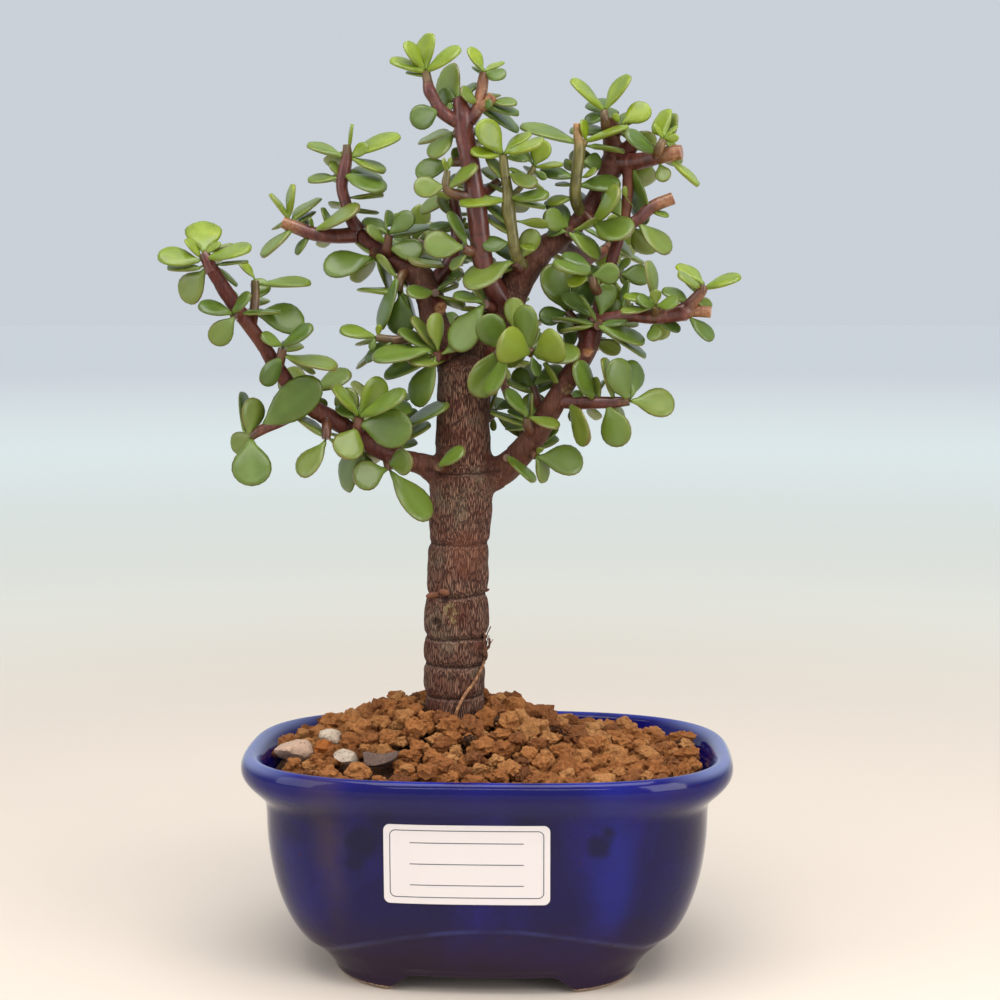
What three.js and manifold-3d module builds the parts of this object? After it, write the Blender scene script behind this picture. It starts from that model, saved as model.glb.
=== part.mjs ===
// A potted dwarf jade bonsai: a small succulent tree in an oval blue-glazed pot.
// Units are millimetres and +Z is up. The pot's long side runs along X and its labelled front faces -Y.
// The tree is described by places read in the upright plane through the trunk, as the eye sees them
// from a fixed standpoint in front of the pot, plus a depth behind that plane (negative is nearer).
import * as THREE from "three";
import { mergeVertices } from "three/addons/utils/BufferGeometryUtils.js";
import Module from "manifold-3d";

const wasm = await Module();
wasm.setup();

// The standpoint: how far in front of the pot, how far to its right, how high, and how the pot is turned
const EYE_DISTANCE = 536;
const EYE_SIDE = 3.7;
const EYE_HEIGHT = 197;
const POT_TURN = THREE.MathUtils.degToRad(2.5);

// Clearance between pieces that touch on the real plant
const GAP = 0.3;

// Pot: outline half sizes [height, half length, half depth] of the outside, from foot to lip
const POT_OUTSIDE = [
  [0, 46, 36.5],
  [2.5, 47.5, 37.6],
  [7.5, 51.8, 38.6],
  [12, 57, 39.5],
  [17, 60.4, 40.5],
  [28, 64.4, 42],
  [42, 66.5, 42.75],
  [51.5, 66.7, 43.2],
  [54.5, 69.4, 44.9],
  [58, 73, 47.3],
  [61, 74, 48.2],
  [63.8, 73.4, 47.8],
  [65.5, 71.6, 46.4],
];
// Pot: the inside, from lip to floor
const POT_INSIDE = [
  [65.2, 69.2, 44],
  [61, 66.4, 41.6],
  [55, 63.4, 39.6],
  [35, 60.4, 37.6],
  [20, 57, 36],
  [12, 52.6, 34.2],
  [9, 49, 32],
];
const FLOOR_TOP = 9;
const FLOOR_UNDERSIDE = 5;
const FOOT_INNER = { halfLength: 41.8, halfDepth: 32.4, taper: 1 };
const OUTLINE_POWER = 2.9;
const POT_SEGMENTS = 32;
const FRONT_ARCH = { width: 44, height: 3.8 };
const SIDE_ARCH = { width: 30, height: 3.8 };
const ARCH_SHOULDER = { start: 1, end: 8 };
const ARCH_REACH = 60;
const DRAIN_HOLE = { radius: 7, offset: 27, height: 7, depth: 12, segments: 20 };
const SCREEN = { side: 21, thickness: 1 };
const LABEL = { left: -27.5, right: 19.6, bottom: 29, top: 51, thickness: 0.4, standoff: 0.46,
  strips: 8 };

// Soil: the surface falls from the mound at the trunk to the edge
const SOIL = { edge: 60.6, rise: 16.6, centreX: -11, centreY: 3.4, reachX: 38, reachY: 28, fall: 2.4,
  rimX: 65, rimY: 40.5, wallGap: 0.6, levels: [9.3, 13, 24, 55], surfaceRings: [1, 0.8, 0.6, 0.4, 0.2],
  segments: 26 };
// Its low waves: [height, turns along x, turns along y], the second one running askew
const SOIL_WAVES = { crossed: [0.35, 0.9, 0.8], askew: [0.25, 0.37, 0.53] };

// Leaves. A blade is widest at widthOfLength times its length, up to widest, and at least edge is seen
// of one that is turned edge on. Its section has a ridge above and a flat underside, as times its
// half thickness, and its stalk runs heelDepth into the stem. The blade's base takes baseLean of its lean,
// faceOut weighs facing outwards against facing up, and shortestSpan is the least room a leaf has to lean.
const LEAF = { widthOfLength: 0.74, widest: 11, longest: 17, edge: 1.2, small: 4.5, smallFullness: 0.7,
  halfThick: [0.55, 1.05], thickOfWidth: 0.11, ridge: 1.3, underside: 0.4, heelDepth: 0.7,
  baseLean: 0.08, faceOut: 0.35, shortestSpan: 3 };
// Leaf sections: place along the blade, half width as a share of the width, share of the thickness
const LEAF_STATIONS = [
  { at: 0.02, half: 0.11, thick: 0.75 },
  { at: 0.52, half: 0.47, thick: 1 },
  { at: 0.86, half: 0.37, thick: 0.8 },
];
// Least lean of a leaf as a share of its seen length, for a light and a strong lean
const LEAN = { light: 0.15, strong: 0.55 };

// Limbs: [radius above which this row counts, sides, rings to each stretch]
const LIMB_GRADES = [
  { above: 6, sides: 10, steps: 2 },
  { above: 2.8, sides: 7, steps: 1 },
  { above: 0, sides: 5, steps: 1 },
];
const SHOOT_SIDES = 4;
const FINENESS = 0.12;

// The tree as one grown solid: each limb is a list of [across, height, depth, radius]
const LIMBS = [
  // trunk, from the buried foot to the fork
  [[-9.8, 62, 0, 9.8], [-9.8, 73, 0, 9.5], [-10, 80, 0, 9.1], [-10, 92, 0, 9.2], [-9.6, 99, 0, 9.5],
   [-9.4, 105, 0, 9.7], [-9.2, 112, 0, 9.2], [-8.6, 126, 0, 9], [-8, 140, 0, 9.3],
   [-7.4, 148, 0, 10.3], [-7.2, 151, 0, 8.6], [-7.3, 165, 0, 8], [-7, 173, 0, 8.3],
   [-6.4, 179, 0, 8.6]],
  // root that lies against the foot of the trunk
  [[-10.6, 72, -9.5, 1.1], [-7.6, 79.3, -8.9, 1], [-3.9, 84.7, -6.9, 0.9], [-1, 90.5, -3.6, 0.8]],
  // left low limb, out to the left tip
  [[-9, 146, 0, 6.4], [-15, 148.3, -1, 4.4], [-20, 150.6, -3, 3.4], [-30, 153.4, -5, 2.6],
   [-38, 158.5, -8, 2.7], [-45, 163.2, -10, 2.9], [-52, 167.3, -12, 2.8], [-58, 173, -14, 2.4],
   [-63, 180, -16, 2.3], [-67, 186.5, -18, 2.1], [-73, 195, -20, 2.3], [-77, 201, -21, 2.3],
   [-81.5, 208.5, -22, 2.1]],
  // left middle limb, to the twig fork
  [[-7.6, 176, 0, 6.6], [-12, 185, 2, 5.2], [-15.5, 192, 4, 4.3], [-17.2, 199, 6, 4.1],
   [-19.5, 205.5, 8, 4.3], [-24, 208.6, 9, 3.4], [-29, 211.4, 10, 2.6], [-33, 214.8, 11, 2.3],
   [-38.2, 219, 12, 2.2]],
  // short cut spur on the left middle limb
  [[-16, 200, 4, 2.6], [-13.6, 196.6, 0, 2.3]],
  // right main limb, to the upper right node
  [[-5, 176, 0, 7], [-0.8, 183, 0, 6.2], [3.2, 192, 1, 5.6], [7.2, 201, 2, 5.1], [11.6, 209.5, 3, 5],
   [16, 213.6, 4, 4], [23, 218.8, 5, 3.4], [27.4, 222.8, 5, 3.1], [31, 228, 6, 2.8],
   [35, 235, 7, 3.2], [37, 239, 8, 3.6], [36.4, 245, 8, 2.8], [36.4, 252.3, 8, 2.5]],
  // cut stub beside the right main limb
  [[12.4, 210, 2, 3.6], [12, 217.6, 0, 3.3]],
  // short thick shoot at the upper right node
  [[38, 239.4, 8, 2.9], [41.5, 243.3, 6, 2.6], [43.6, 246.2, 5, 2.3]],
  // right low limb and the limb that goes on up from it
  [[-5, 146, 0, 6], [3, 148, 0, 4.8], [9.5, 153.4, -4, 4.1], [15.3, 161, -7, 3.8],
   [20, 169, -9, 3.4], [24, 176, -9, 3.3], [28, 182, -8, 3.3], [30.6, 188, -7, 3.2],
   [32, 193, -6, 2.6], [33.4, 198, -5, 2.1], [34.8, 203, -4, 2], [37, 212, -2, 1.9],
   [39.5, 220, 0, 1.9], [41, 228, 2, 1.8], [41.2, 236, 4, 1.8], [41, 240, 5, 1.8]],
  // short cut stub that lies on the right low limb
  [[30.6, 190, -9, 2], [29.9, 184.2, -11, 1.9]],
  // back limbs that fill the crown behind
  [[-5, 178, 2, 4], [-4, 185, 14, 2.8], [1, 191, 26, 2.1], [3, 195, 36, 1.5]],
  [[-18, 203, 8, 2.8], [-21, 207, 20, 2.2], [-23, 211, 31, 1.7], [-22, 215, 40, 1.3]],
  [[20, 216.5, 5, 2.8], [26, 213, 18, 2.2], [32, 212, 30, 1.7], [36, 215, 40, 1.3]],
  [[13, 157.5, -4, 2.6], [9, 165, 12, 1.9], [5, 174, 25, 1.5], [4, 180, 33, 1.2]],
  [[-29, 153.2, -4, 2.1], [-32, 157, 8, 1.7], [-33, 161, 20, 1.4], [-32, 165, 29, 1.1]],
];

// Leafy shoots: "stems" as for the limbs, then "leaves" as
// [base across, base height, tip across, tip height, seen width, lean, youth].
// Lean is +1 where the tip leans away from the eye and -1 where it leans nearer, 2 for a strong lean.
// Youth runs from 0, an old dark leaf, to 1, a yellow-green new one.
const SHOOTS = [
  { name: "branch_centre",
    stems: [
      [[4.5, 198, 0, 3], [0.6, 205.5, -3, 2.7], [-1.4, 211, -5, 2.6], [-2.2, 217, -6, 2.6],
        [-3, 225, -7, 2.6], [-4.2, 233, -7, 2.5], [-5.4, 241, -7, 2.4], [-6.6, 247, -7, 2.4],
        [-7.3, 253, -7, 2.5], [-8.4, 258.2, -7, 1.5]],
      [[-2.4, 213.4, -5, 1.5], [-5.8, 213.8, -8.4, 1.3], [-7, 214.4, -9, 1.1]],
      [[-3.8, 229, -7, 1.5], [-8.5, 230, -9, 1.3], [-11.8, 231.6, -10, 1.2],
        [-11.8, 237, -10, 0.8]],
      [[-2.2, 230, -6, 1.6], [1, 232, -3, 1.3], [3.4, 233.8, -2, 1.2]],
      [[-5.2, 240, -6, 1.5], [-10.4, 239.4, -2.4, 1.1]],
      [[-6.6, 247, -6, 1.5], [-9.6, 247.8, -4, 1.1]],
      [[-7.4, 250.6, -7, 1.9], [-11, 252.4, -8, 1.7], [-13.8, 254.5, -9, 1.6],
        [-15.6, 257.6, -9, 1.4], [-16.9, 260, -9, 1.6], [-17.5, 263, -9, 1.2],
        [-18, 265.6, -9, 1.1]],
      [[-5.4, 251.4, -7, 1.9], [-3, 254.6, -7, 1.6], [-1.9, 258.8, -6, 1.5],
        [-1.3, 262.5, -6, 1.4], [-0.9, 265.2, -6, 1.2]],
      [[-2.8, 255, -7, 1.5], [-0.2, 256.2, -8, 1.3], [1.8, 258.4, -8, 1.5]]],
    leaves: [
      [-7, 214.6, -19, 215.5, 8.2, -1, 0.4], [-6.2, 212.6, -10.8, 208, 3.4, 1, 0.3],
      [-12.4, 232.4, -21.8, 231.6, 6.4, -1, 0.55], [-11.6, 231.8, -2.5, 238.2, 4.2, -1, 0.6],
      [-11.9, 237, -13.5, 240, 2, 1, 0.8], [-11.7, 237.2, -10.6, 240.8, 1.8, 1, 0.8],
      [-11, 239, -21.2, 236, 6.4, 1, 0.2], [-10.4, 239.8, -8.4, 243.4, 3.2, 2, 0.3],
      [-10, 247.4, -16.6, 240.4, 5.6, -1, 0.25], [-10.2, 247.8, -18.9, 244.8, 3, 1, 0.3],
      [-14.4, 254.4, -22.4, 251.2, 7.2, -1, 0.45], [-11.6, 253.6, -10.6, 256.6, 2, 1, 0.5],
      [-18.5, 265.4, -28.5, 269, 3.6, -1, 0.85], [-18.6, 266, -24.2, 274, 4.4, 1, 0.95],
      [-18, 266, -17.5, 276, 6.4, 1, 0.85], [-17.4, 265.6, -8, 272.7, 4.3, -1, 0.85],
      [-17.2, 266.6, -12, 268.6, 2, 2, 0.8], [-18.6, 264.2, -23.6, 265.4, 2, 2, 0.6],
      [-1.2, 265.6, -5.6, 272.2, 4, 1, 1], [-0.6, 265.6, 4.6, 267.8, 2.2, 1, 0.95],
      [-0.4, 265, 5.1, 264.2, 4.2, -1, 0.5], [-3, 256.4, -8.3, 260.2, 4, 1, 0.4],
      [-1.2, 256.4, 1.3, 256, 3, -1, 0.4], [0.8, 256.8, 8.8, 256.2, 3.2, 1, 0.45],
      [-0.4, 255.4, 9.4, 253.8, 3.4, 1, 0.3], [-2.2, 254.8, 9.4, 249.6, 5, 2, 0.25],
      [-8.6, 258.2, -12, 265.6, 9, 2, 0.45], [-9.2, 257.6, -14.6, 258.6, 5.6, 1, 0.35],
      [-7.8, 257.6, -4, 262, 4, 2, 0.3]] },
  { name: "branch_right_middle",
    stems: [
      [[31.5, 192.5, -7, 2.2], [37.5, 193.8, -10, 1.8], [42, 194.7, -12, 1.7],
        [50, 194.3, -15, 1.8], [55, 195, -17, 1.9], [58.4, 195.8, -18, 2.3],
        [60.5, 196, -18, 1.5], [66.2, 195.7, -19, 1.4]],
      [[58.8, 196.6, -18, 1.7], [61, 199, -19, 1.5], [63.4, 202, -20, 1.3],
        [63.9, 203.6, -20, 1.1]],
      [[49.8, 194.6, -15, 1.3], [50, 197.6, -19, 1.1]]],
    leaves: [
      [49.6, 197, 44.2, 200.2, 3.6, -1, 0.45], [49, 198.4, 40.4, 200.8, 3.4, 1, 0.7],
      [50, 198.2, 49.6, 202.4, 3.4, -1, 0.5], [50.4, 197.4, 56.8, 199, 4.2, -1, 0.6],
      [49.6, 192.2, 49.7, 187, 4.6, -1, 0.3], [50.8, 192.6, 57.4, 190.6, 3.6, -1, 0.4],
      [63.6, 204, 56.2, 209.2, 4, 1, 0.85], [62.6, 203, 56.6, 206.3, 3, -1, 0.7],
      [64.4, 202.6, 75, 206.3, 3.9, -1, 0.85], [61.6, 198.6, 66.3, 197.6, 3.6, 2, 0.5],
      [59.4, 198.2, 52, 202.4, 4.2, 1, 0.3], [60, 193.8, 66.9, 187.3, 4.6, -1, 0.35],
      [43, 195.8, 42.6, 198.4, 1.2, -1, 0.1]] },
  { name: "branch_upper_right",
    stems: [
      [[38.5, 239.2, 7, 2.6], [45, 239.8, 3, 2.1], [50, 241, 0, 1.9], [54, 242, -2, 2.1],
        [57, 242.4, -3, 1.8]],
      [[49.6, 241, 0, 1.5], [50.4, 243.4, -4, 1.2], [51.6, 246, -4, 1]]],
    leaves: [
      [49, 242.2, 40.8, 248, 4.8, -1, 0.45], [51.3, 246.2, 49.1, 250.8, 2.2, 1, 0.95],
      [51.8, 246.8, 51, 254, 6.8, 1, 0.95], [52, 246.2, 56.3, 246.6, 2.6, 1, 0.95],
      [52.4, 246.6, 55.4, 250, 2.2, 2, 0.85], [51.6, 245.2, 55.4, 243.8, 2.2, 2, 0.8],
      [50.6, 239, 52.4, 233.6, 4.8, -1, 0.3], [54, 240, 61.6, 232, 2.6, 1, 0.9],
      [42.8, 237.6, 46.6, 221.2, 6.2, -1, 0.45]] },
  { name: "shoot_left_tip",
    stems: [[[-81.9, 209, -22, 1.7], [-83, 211.5, -22, 1.5], [-84, 213, -22, 1.1]]],
    leaves: [
      [-83.6, 213.5, -83.8, 222.5, 10.6, 1, 0.9], [-84.5, 211.5, -89.3, 216.8, 3, 1, 0.9],
      [-83.5, 212.5, -78.8, 216.3, 2.5, 1, 0.8], [-85, 210.6, -97.5, 212.3, 6, -1, 0.8],
      [-84.8, 208.5, -94.5, 208.6, 3.5, 1, 0.5], [-83.5, 208, -89.5, 199.3, 8, 2, 0.5],
      [-82.5, 211.5, -69.9, 214.2, 4.5, -1, 0.8], [-82, 213.5, -75.6, 214.8, 1.6, 2, 0.6]] },
  { name: "shoot_left_outer",
    stems: [[[-73.2, 195, -20, 1.6], [-75.2, 195.2, -23.4, 1.2]]],
    leaves: [
      [-75.8, 195.2, -85.7, 198, 4.8, -1, 0.5], [-75.3, 195.5, -70.3, 201.2, 3.6, -1, 0.5],
      [-75, 194.2, -82, 186.5, 7, -1, 0.35]] },
  { name: "shoot_left_outer_top",
    stems: [[[-70.2, 191.4, -19, 1.5], [-69.2, 196, -17, 1.2], [-68.7, 201, -16, 1.1],
      [-68.7, 205, -16, 1]]],
    leaves: [
      [-68.9, 205.8, -73.5, 210.3, 3, 1, 0.8], [-68.6, 199.5, -66.3, 205.2, 6, 1, 0.6],
      [-66.5, 203.8, -52, 204.2, 3.8, 1, 0.6], [-68.2, 195.2, -54, 192.5, 9, -1, 0.5]] },
  { name: "shoot_left_mid",
    stems: [[[-62.5, 179, -16, 1.5], [-61.3, 182.5, -18.5, 1.2], [-60.8, 185, -19, 1.1]]],
    leaves: [
      [-61, 185.8, -67.3, 188.7, 4, 1, 0.5], [-60.4, 185.8, -52, 191.5, 4.5, 1, 0.45],
      [-60, 182.6, -44.8, 178, 5, -1, 0.45], [-61.4, 182.4, -66.8, 174.2, 6, -1, 0.35]] },
  { name: "shoot_left_low_tip",
    stems: [[[-54.5, 167.6, -12, 1.7], [-61, 163.6, -14, 1.4], [-68, 160.4, -15, 1.3],
      [-70.6, 158.6, -15, 1]],
      [[-55.6, 167.4, -12, 1.3], [-52.4, 171, -6.4, 1.1]]],
    leaves: [
      [-51.6, 172.4, -40.3, 177.5, 6, 1, 0.3], [-52.6, 171.8, -61, 177, 9, 2, 0.3],
      [-51.6, 170.6, -48.4, 167, 4, 2, 0.2],
      [-71, 158.8, -70, 170.5, 7, 1, 0.45], [-72.6, 160, -72, 171.8, 5, 2, 0.35],
      [-70.6, 157.8, -70.5, 143.8, 11.5, -1, 0.4], [-67, 161.6, -50, 175.5, 11, -2, 0.5],
      [-70, 159.6, -75.5, 155, 7, 2, 0.3]] },
  { name: "shoot_left_under",
    stems: [[[-48, 165, -11, 1.4], [-48, 160.4, -15, 1.2], [-48.2, 158, -15.6, 1.1]]],
    leaves: [[-48.6, 158.6, -57, 164.3, 3.3, -1, 0.4], [-48.4, 157.2, -55.5, 146.3, 7, -1, 0.3]] },
  { name: "shoot_left_inner",
    stems: [[[-39, 159, -8, 1.6], [-38.6, 161.6, -13, 1.4], [-38.3, 164.6, -14, 1.2]]],
    leaves: [
      [-38.6, 165.3, -46.7, 173.8, 4.2, -1, 0.7], [-38.2, 165.4, -31, 176, 8, 1, 0.7],
      [-37.8, 164.8, -24.4, 171.5, 5.5, -1, 0.6], [-37.9, 162.5, -22.4, 160.2, 11.5, -2, 0.4],
      [-37, 166.2, -22.9, 168.5, 7, 2, 0.3], [-39.4, 163.9, -45, 168, 4, 2, 0.2],
      [-38.9, 161.4, -43.6, 151.8, 9.5, -2, 0.55]] },
  { name: "shoot_left_inner_under",
    stems: [[[-37.8, 158, -7, 1.4], [-38.6, 154.4, -4.6, 1.1]]],
    leaves: [[-38.8, 153.6, -43.3, 143.6, 7.5, 2, 0.25], [-38, 154, -35.6, 146, 6, 2, 0.2]] },
  { name: "shoot_left_near_trunk",
    stems: [[[-29.8, 153, -5, 1.6], [-29.6, 150, -9, 1.2], [-29.4, 148.8, -9.4, 1]]],
    leaves: [
      [-30.3, 149, -40.5, 145.8, 9, -1, 0.25], [-29.4, 150.4, -22.2, 151.8, 8, -2, 0.4],
      [-28.8, 148, -18, 133.2, 8.5, -1, 0.35]] },
  { name: "shoot_left_near_trunk_top",
    stems: [[[-27.5, 152.6, -5, 1.6], [-27, 157, -2.4, 1.2], [-26.6, 160.6, -2, 1]]],
    leaves: [[-26, 161.4, -11.4, 168.4, 4.6, -1, 0.4], [-26.4, 157.2, -16.8, 162.3, 4, 1, 0.4]] },
  { name: "shoot_trunk_left",
    stems: [[[-13, 149, -6, 1.4], [-14.6, 149.6, -11, 1]]],
    leaves: [[-14.6, 149.9, -6.6, 154.8, 4.6, -1, 0.5]] },
  { name: "shoot_mid_left_top",
    stems: [[[-37.8, 219.3, 12, 2], [-40.2, 223, 12, 1.6], [-41.8, 228, 12, 1.5],
      [-42.8, 232.5, 12, 1.5], [-42, 237, 12, 1.7], [-41.2, 241, 12, 1.4], [-41.2, 244.5, 12, 1]]],
    leaves: [
      [-42.6, 241, -52.9, 244.4, 3.8, 1, 0.6], [-39.6, 241.5, -25.5, 247.5, 5, 1, 0.85],
      [-40.4, 244, -39.3, 250.5, 1.6, 1, 0.9], [-40, 240.8, -35, 244.5, 4, -1, 0.8],
      [-39.6, 240.4, -30.1, 236, 3.7, -1, 0.75], [-44, 234.7, -52.8, 234, 3.5, 1, 0.6],
      [-43.6, 235.4, -46.3, 239.7, 3.2, 1, 0.6], [-41.8, 235.8, -30.3, 231, 6, -1, 0.5],
      [-40.6, 236.8, -31.5, 234.5, 4, 2, 0.4]] },
  { name: "shoot_mid_left_end",
    stems: [[[-40, 218.3, 12, 2.1], [-45, 218, 12, 1.9], [-51, 218.6, 12, 1.8],
      [-56.5, 220.5, 12, 1.7], [-60.3, 222, 12, 1.5]]],
    leaves: [
      [-50.6, 219.8, -37, 225, 5.2, -1, 0.5], [-46.5, 219.5, -48.4, 226, 3, 2, 0.4],
      [-52.5, 218, -56.5, 212.5, 3, 1, 0.3], [-51.5, 220.3, -52.3, 223.3, 1.6, 1, 0.6],
      [-58.4, 223, -64.4, 229.9, 2, 1, 0.8], [-58.5, 223.4, -56.4, 233, 2.8, 1, 0.8],
      [-57.4, 222.6, -49.9, 228.5, 3.6, 1, 0.7], [-57.4, 220, -66.5, 211.4, 3.8, -1, 0.4]] },
  { name: "shoot_mid_left_under",
    stems: [[[-33, 214.6, 11, 1.5], [-33.8, 211.8, 7.5, 1.1]]],
    leaves: [
      [-34.6, 211.6, -48.5, 208, 8.4, -1, 0.25], [-32.8, 210.9, -38, 209.8, 2.2, 1, 0.5],
      [-34.6, 213, -38.6, 216, 2.5, 2, 0.2], [-32.6, 211, -29, 203, 4.5, 2, 0.2]] },
  { name: "shoot_mid_left_inner",
    stems: [[[-29.4, 211.6, 10, 1.5], [-29.6, 214.6, 6.5, 1.3], [-29, 218.4, 6, 1.1]]],
    leaves: [
      [-29.8, 219, -35.9, 222.6, 4.5, 2, 0.3], [-28.7, 218.8, -21.7, 224.6, 6, 1, 0.5],
      [-30, 216, -36, 220.4, 3.7, -1, 0.45], [-29, 214.4, -18.8, 213.4, 7, -1, 0.35],
      [-28, 217.6, -17.3, 221.6, 4.6, 2, 0.35], [-30, 220.5, -28.4, 225, 4, 2, 0.2]] },
  { name: "shoot_mid_limb_under",
    stems: [[[-23, 207.6, 8, 1.5], [-25.6, 205.8, 3, 1.2], [-26.4, 201.6, 2, 1.1]]],
    leaves: [
      [-26.2, 206.2, -32.4, 190.6, 4.5, -1, 0.45], [-25.8, 200.4, -25.6, 188.6, 8.5, 1, 0.2],
      [-25.4, 203.4, -25.6, 199.8, 1.8, 1, 0.9], [-27.4, 201, -37, 202.6, 2.8, 1, 0.7],
      [-25, 200.8, -21.2, 192.8, 3, 2, 0.3]] },
  { name: "shoot_mid_limb_front",
    stems: [[[-17, 200.6, 4, 1.4], [-15.4, 201.4, -1.6, 1]]],
    leaves: [[-15.8, 201.4, -24, 201, 4.8, -2, 0.35]] },
  { name: "shoot_left_twig",
    stems: [[[-15, 189.2, 3, 1.6], [-21, 188.4, -1, 1.2], [-27, 187.4, -2, 1.2],
      [-33, 188.2, -3, 1]]],
    leaves: [
      [-33.6, 188.4, -44, 190.4, 4.5, -1, 0.65], [-33.4, 188, -34.6, 184.4, 2.4, 1, 0.5],
      [-32.6, 188.6, -32, 192, 2, -1, 0.8], [-27, 188, -36.6, 181.4, 4, 1, 0.4],
      [-29, 187, -37.4, 179.4, 2.4, 2, 0.4]] },
  { name: "shoot_fork_left",
    stems: [[[-12, 183, 0, 1.6], [-15.4, 182.4, -8.6, 1.3]]],
    leaves: [
      [-17, 184.4, -34.4, 181.6, 6, -1, 0.4], [-17, 181.4, -30.6, 177.4, 6, 2, 0.25],
      [-15.6, 181.2, -21.4, 167.8, 8, 1, 0.35], [-12.6, 181.6, -23.8, 180.3, 5.5, -2, 0.4]] },
  { name: "shoot_fork_front",
    stems: [[[2.4, 196, -1, 1.6], [-0.8, 198, -8, 1.2]]],
    leaves: [[-1.6, 197.6, -9.5, 184, 9.4, -1, 0.15], [-1.8, 198.8, -10.3, 200.6, 3.8, 1, 0.4]] },
  { name: "shoot_main_front",
    stems: [[[10, 208, 0, 1.6], [8, 210.4, -6.6, 1.2]]],
    leaves: [[7.2, 210.6, -6.6, 202.4, 7.8, -1, 0.5]] },
  { name: "shoot_olive_stem",
    stems: [[[10.6, 209.5, -1, 1.9], [8.6, 212, -6.5, 1.8], [7.2, 220, -8.5, 1.75],
      [6.2, 226, -9, 2.2], [6, 230.5, -9, 1.7], [5.2, 236, -9, 1.5], [4.6, 241.6, -9, 1.3]],
      [[6.4, 229, -9, 1.1], [10.5, 233, -5, 0.9], [13.6, 238, -4, 0.9]]],
    leaves: [
      [6.4, 215.8, -1.6, 215.4, 5, -1, 0.4], [9, 215.2, 14.4, 214, 2.8, -1, 0.7],
      [6.4, 218.6, -0.3, 223.4, 3.6, 2, 0.3], [6, 221.4, 0.4, 227.4, 4, 2, 0.25],
      [5, 228.4, -8.4, 227.3, 4.3, -1, 0.75], [7.4, 229, 17.8, 229.7, 4, -1, 0.6],
      [7.4, 227.8, 17.2, 226.4, 2.2, 1, 0.4], [6.6, 236, 13.9, 231.6, 5, -1, 0.45],
      [6.6, 237.6, 16.2, 231.4, 2, 1, 0.7], [4.2, 234.6, 0, 240.6, 3.8, 2, 0.2],
      [4.4, 241.8, -2.8, 251.2, 7.6, 1, 0.95], [3.6, 241.2, -5.1, 242.3, 3.8, -1, 0.9],
      [4, 242, -3.2, 248, 2.6, 2, 0.4], [5.6, 242.2, 16.4, 243.8, 4.4, 1, 0.85],
      [5.4, 242.4, 12.4, 247.8, 3.6, 2, 0.8], [5.4, 240.8, 12, 240.2, 3, 2, 0.3],
      [13.8, 238.6, 16.8, 246, 6.4, 1, 0.9], [14.2, 238, 22.3, 238.2, 2.2, 1, 0.8],
      [14, 237, 17.4, 234.6, 2.4, 1, 0.5], [13, 239.4, 9.2, 243.4, 3, -1, 0.6]] },
  { name: "shoot_behind_upright",
    stems: [[[-16, 204.4, 8, 2], [-11, 210.6, 8, 1.8], [-9, 217, 8, 1.7], [-9.3, 223, 8, 1.7],
      [-10, 229.6, 8, 1.2]]],
    leaves: [
      [-10.4, 229.4, -19.4, 225, 4.6, 1, 0.2], [-10.2, 224.4, -15.3, 228.6, 4, -1, 0.3],
      [-9.8, 221.4, -17.4, 220.4, 3.2, -1, 0.3], [-8.4, 218.4, -6.4, 223.4, 2.2, 1, 0.6],
      [-11.6, 210.8, -8.8, 205.3, 4, -1, 0.25], [-13.4, 209.8, -21.5, 208.8, 4.5, -1, 0.4],
      [-9.6, 228.6, -3.8, 233, 5, 2, 0.2]] },
  { name: "shoot_trunk_front",
    stems: [[[0, 183, -3, 1.8], [2.6, 183.8, -9.5, 1.4], [4.4, 183.6, -11, 1.1]]],
    leaves: [[3, 184.4, -4.4, 170.8, 9.6, -1, 0.35], [4.6, 184.8, -1.4, 194.6, 9, -1, 0.35],
      [5, 182.4, 1.4, 171, 6, -2, 0.35]] },
  { name: "shoot_fork_right",
    stems: [[[5.4, 190, -3, 1.6], [10, 186.4, -11, 1.4], [13.3, 183.4, -13, 1.2]]],
    leaves: [
      [12.6, 183.6, 3.4, 187, 11.2, -2, 0.6], [12.6, 184.8, 11.4, 198, 7.6, -1, 0.55],
      [14.2, 183.3, 22.4, 187, 10.4, -1, 0.6], [14.4, 182.4, 27.8, 182.8, 6.6, 1, 0.4],
      [13.2, 185.6, 15.6, 190.8, 1.8, 1, 0.4], [13, 182.4, 15.2, 176.6, 3.4, -1, 0.4]] },
  { name: "shoot_low_right_inner",
    stems: [[[17, 165.4, -8, 1.5], [14.6, 170, -3, 1.2], [13.6, 173.6, -2, 1]]],
    leaves: [
      [13.4, 173.6, 7.6, 177.8, 6.4, 1, 0.2], [14, 174.4, 22.6, 179, 5.4, 1, 0.3],
      [13.4, 171.8, 5.4, 174.8, 3, -1, 0.3]] },
  { name: "shoot_low_right_front",
    stems: [[[13.6, 159.6, -7, 1.5], [11.9, 162.4, -13.4, 1.2], [12, 164.4, -14, 1]]],
    leaves: [
      [11.8, 165, 5, 172.8, 4.5, -1, 0.4], [12.8, 164.4, 21.3, 161, 4, -1, 0.55],
      [11.2, 163.4, 6.4, 167, 3, 2, 0.2]] },
  { name: "shoot_trunk_right",
    stems: [[[-2, 163, 3, 1.4], [1, 165, 6.4, 1.1], [2.4, 166.4, 7, 1]]],
    leaves: [[2.4, 165.8, 11.3, 158.8, 5.8, -1, 0.35], [3, 167.6, 8.8, 169, 3.6, 1, 0.5],
      [1.6, 164.6, 1.8, 160.4, 2.2, 1, 0.6]] },
  { name: "shoot_low_right_bud",
    stems: [[[12, 155.6, -5, 1.4], [14.4, 153, -8.6, 1.1]]],
    leaves: [
      [15.2, 152.6, 28.6, 150.6, 9.2, 1, 0.25], [14.6, 152.2, 17, 145.4, 4.8, -1, 0.45],
      [14.8, 153.6, 16.2, 155.6, 2, 2, 0.3]] },
  { name: "shoot_low_right_foot",
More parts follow.
